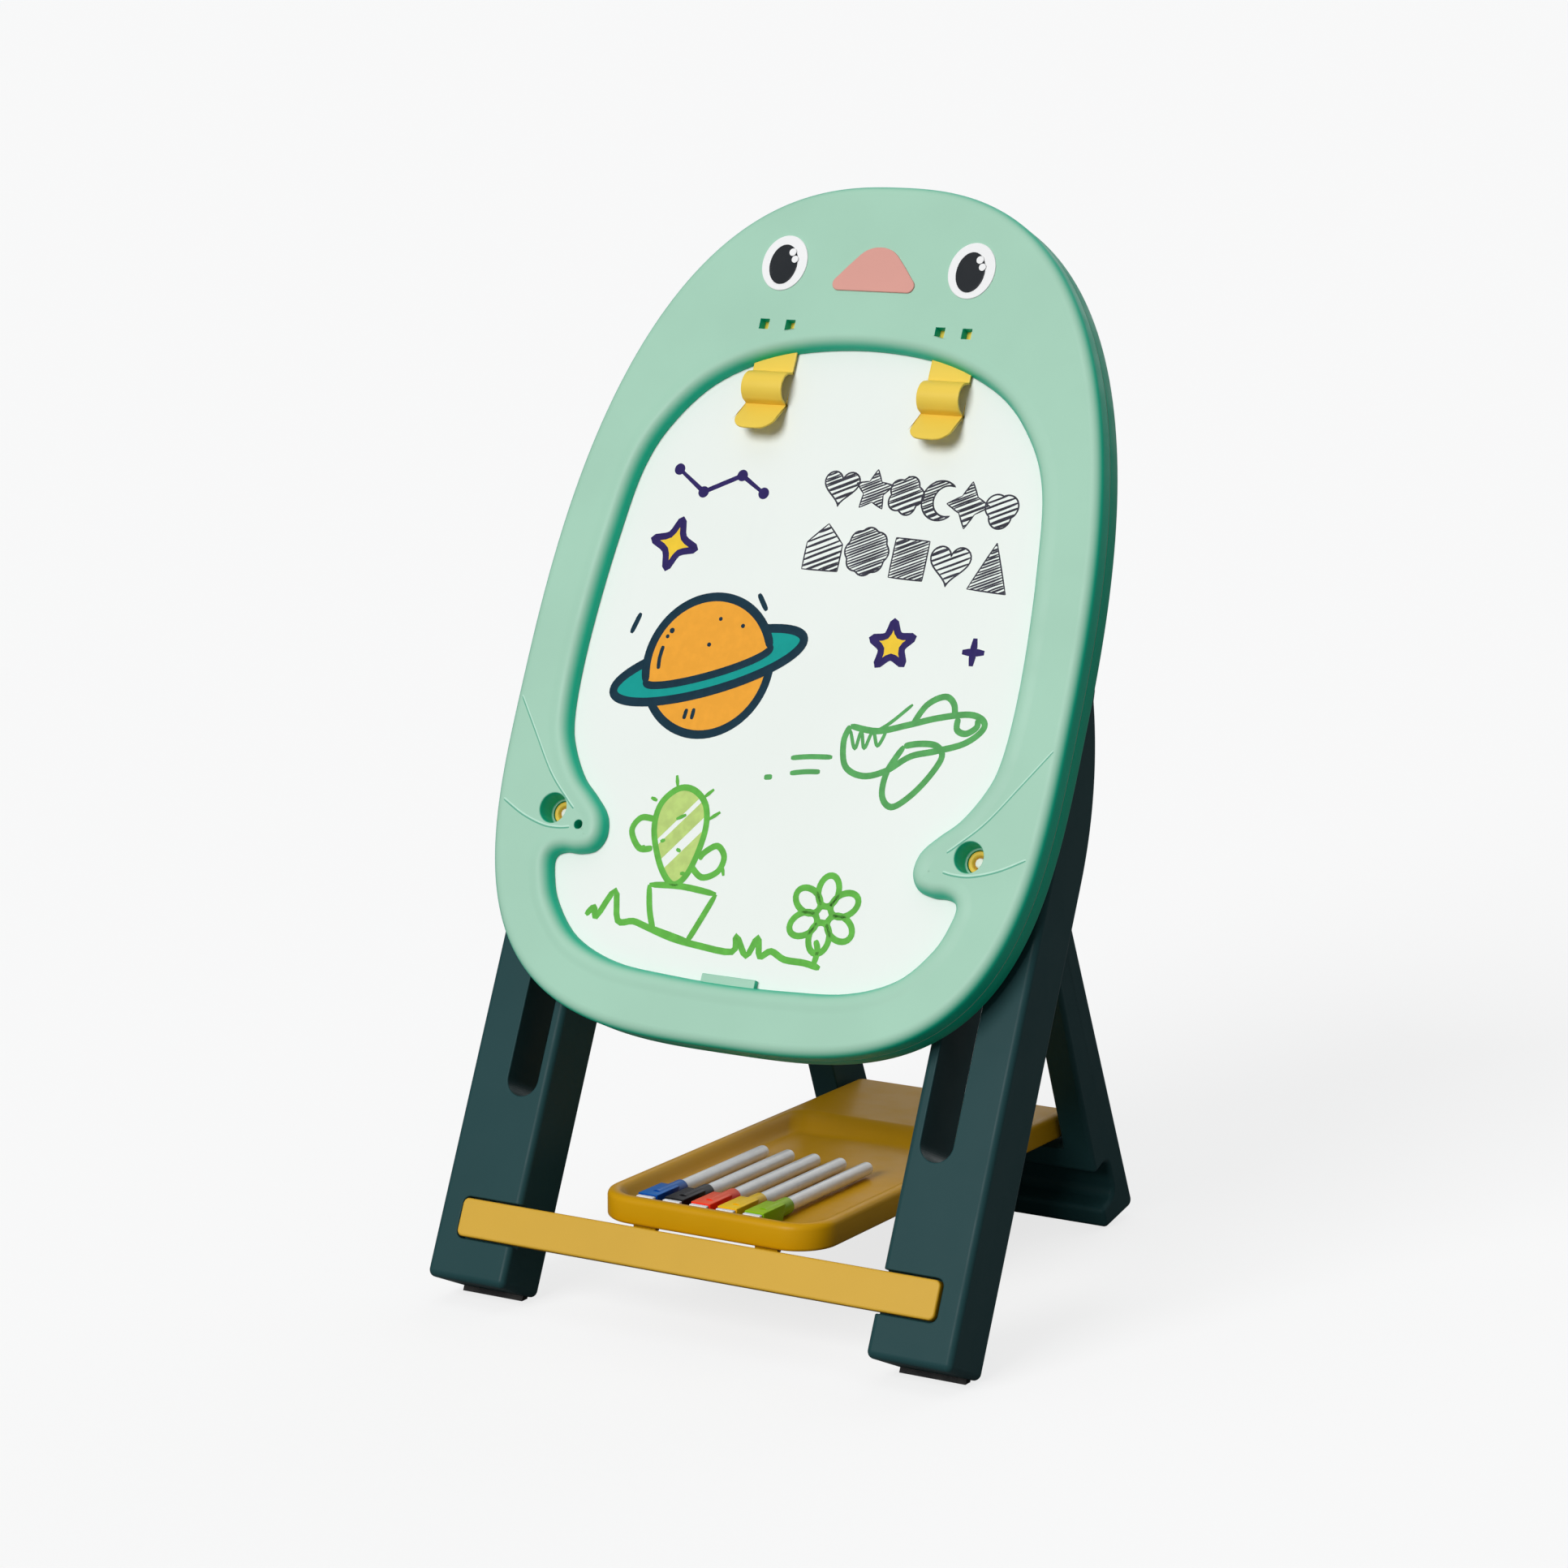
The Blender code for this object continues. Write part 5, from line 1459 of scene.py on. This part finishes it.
bm = bmesh.new()
ring = lay_ring(bm, tray_outline(0.0032, TRAY_BACK - 0.0032), TRAY_LOW)
bmesh.ops.contextual_create(bm, geom=ring_edges(bm, ring))
outside = [(0.0015, TRAY_LOW + 0.0004), (0.0004, TRAY_LOW + 0.0014), (0.0, TRAY_LOW + 0.0030)]
outside += [(0.0, TRAY_TOP - 0.0050), (0.0004, TRAY_TOP - 0.0030), (0.0014, TRAY_TOP - 0.0014)]
outside += [(0.0030, TRAY_TOP - 0.0004), (0.0048, TRAY_TOP), (0.0054, TRAY_TOP)]
ring = grow_rings(bm, ring, [(tray_outline(inset, TRAY_BACK - inset), z) for inset, z in outside])
well = [
    (0.0068, 0.004, 0.0), (0.0076, 0.003, 0.0001), (0.0092, 0.001, 0.0006), (0.0106, -0.002, 0.0018),
    (0.0122, -0.006, 0.0042), (0.0140, -0.010, 0.0076), (0.0158, -0.014, 0.0108),
    (0.0176, -0.017, 0.0128), (0.0200, -0.020, 0.0138), (0.0228, -0.024, 0.0140),
]
well_rings = [
    (tray_outline(inset, WELL_BACK + rear, 0.034, 0.014), TRAY_TOP - drop) for inset, rear, drop in well
]
inner = lay_ring(bm, *well_rings[0])
fill_flat(bm, [ring, inner])
inner = grow_rings(bm, inner, well_rings[1:])
bmesh.ops.contextual_create(bm, geom=ring_edges(bm, inner))
for x in (-0.055, 0.055):
    add_block(bm, (0.020, 0.0055, 0.0085), (x, tray_hook.y, tray_hook.z - 0.01025))
bmesh.ops.recalc_face_normals(bm, faces=bm.faces[:])
new_piece("pen_tray_body", bm, Matrix.Identity(4), tray_yellow, "pen_tray", ["tray"], 50)

# ---------------------------------------------------------------- markers
# Five dry-wipe markers. The coloured cap is a flat-topped block with a round collar and a
# felt wiper glued on its end; the barrel is a plain grey tube with a lighter round end.
# Each cap colour comes with a darker copy that is painted on the faces not turned straight up: painted
# shade on the cap's sides and ends.
CAP_COLOURS = {
    "blue": ((0.002, 0.130, 0.480), (0.001, 0.050, 0.300)),
    "black": ((0.021, 0.021, 0.024), (0.004, 0.004, 0.005)),
    "red": ((0.950, 0.110, 0.040), (0.900, 0.020, 0.006)),
    "yellow": ((0.990, 0.620, 0.006), (0.800, 0.400, 0.003)),
    "green": ((0.340, 0.560, 0.008), (0.200, 0.420, 0.006)),
}
material, shader, place = start_material("barrel_grey", 0.30, coat=0.2)
from_cap = place.node("ShaderNodeSeparateXYZ", {}, {"Vector": place}, "Y")
barrel_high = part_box("marker_barrel_blue")[1]
ends = from_cap.clamped(barrel_high.y - 0.0060, barrel_high.y - 0.0052)
cloud = noise(place, 120.0, 3.0).clamped(0.3, 0.7)
grey = cloud.mixed((0.800, 0.800, 0.810, 1.0), (0.850, 0.850, 0.860, 1.0))
feed(shader, "Base Color", ends.mixed(grey, (0.90, 0.91, 0.93, 1.0)))
rub = noise(place, 300.0, 3.0)
feed(shader, "Roughness", rub * 0.12 + 0.24)
feed(shader, "Normal", rub.bumped(0.2, 0.00003))
barrel_grey = material
material, shader, place = start_material("wiper_felt", 0.95)
fibre = noise(place, 1400.0, 4.0)
matted = fibre.clamped(0.3, 0.7)
feed(shader, "Base Color", matted.mixed((0.72, 0.73, 0.78, 1.0), (0.86, 0.87, 0.90, 1.0)))
feed(shader, "Normal", fibre.bumped(0.8, 0.0003))
feed(shader, "Roughness", fibre * 0.1 + 0.88)
felt = material
CAP_BLOCK = 0.0330
CAP_HEIGHT = 0.0125
BARREL_R = 0.0055
COLLAR_R = 0.0067
for word, (top_colour, painted_side_shade) in CAP_COLOURS.items():
    # The cap's sides and ends take the darker copy as painted shade.
    cap_plastic = moulded_plastic(
        "cap_" + word, top_colour, 0.34, painted_shade_tone=painted_side_shade, facing=(0.0, 0.0, 1.0), shine=0.12
    )
    low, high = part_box("marker_cap_" + word)
    tube_low, tube_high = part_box("marker_barrel_" + word)
    axis_x = (tube_low.x + tube_high.x) / 2
    axis_z = (tube_low.z + tube_high.z) / 2
    block_end = low.y + CAP_BLOCK
    bm = bmesh.new()
    add_block(
        bm, (high.x - low.x, CAP_BLOCK, CAP_HEIGHT),
        ((low.x + high.x) / 2, low.y + CAP_BLOCK / 2, low.z + CAP_HEIGHT / 2),
    )
    # The block thins towards the collar: its rear lower edge is drawn up.
    rear_low = [v for v in bm.verts if v.co.y > block_end - 1e-5 and v.co.z < low.z + 1e-5]
    bmesh.ops.translate(bm, vec=(0.0, -0.004, 0.0), verts=rear_low)
    round_edges(bm, bm.edges[:], 0.0007, 3)
    collar = turned([
        (0.0050, 0.010), (COLLAR_R, 0.010), (COLLAR_R, high.y - low.y - 0.0008),
        (COLLAR_R - 0.0002, high.y - low.y - 0.0003), (COLLAR_R - 0.0006, high.y - low.y),
        (0.0058, high.y - low.y), (0.0058, 0.016), (0.0050, 0.016), (0.0050, 0.010),
    ], 36)
    bmesh.ops.transform(
        collar, matrix=Matrix.Translation((axis_x, low.y, axis_z)) @ Matrix.Rotation(-math.pi / 2, 4, "X"),
        verts=collar.verts[:],
    )
    take_in(bm, collar)
    new_piece("cap_" + word, bm, Matrix.Identity(4), cap_plastic, "marker_cap_" + word,
              ["marker_cap_" + word], 40)
    low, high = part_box("marker_eraser_" + word)
    bm = bmesh.new()
    add_block(bm, high - low, (low + high) / 2)
    round_edges(bm, bm.edges[:], 0.0006, 2)
    new_piece("wiper_" + word, bm, Matrix.Identity(4), felt, "marker_cap_" + word,
              ["marker_eraser_" + word], 60)
    length = tube_high.y - tube_low.y
    tube = [
        (0.0, 0.0), (0.0050, 0.0), (BARREL_R, 0.0005), (BARREL_R, length - 0.0058),
        (BARREL_R - 0.0001, length - 0.0055), (BARREL_R - 0.0001, length - 0.0036),
        (BARREL_R - 0.0006, length - 0.0018), (BARREL_R - 0.0016, length - 0.0006),
        (BARREL_R - 0.0028, length - 0.0001), (0.0, length),
    ]
    bm = turned(tube, 36)
    axes = Matrix.Translation((axis_x, tube_low.y, axis_z)) @ Matrix.Rotation(-math.pi / 2, 4, "X")
    new_piece("barrel_" + word, bm, axes, barrel_grey, "marker_barrel_" + word,
              ["marker_barrel_" + word], 40)
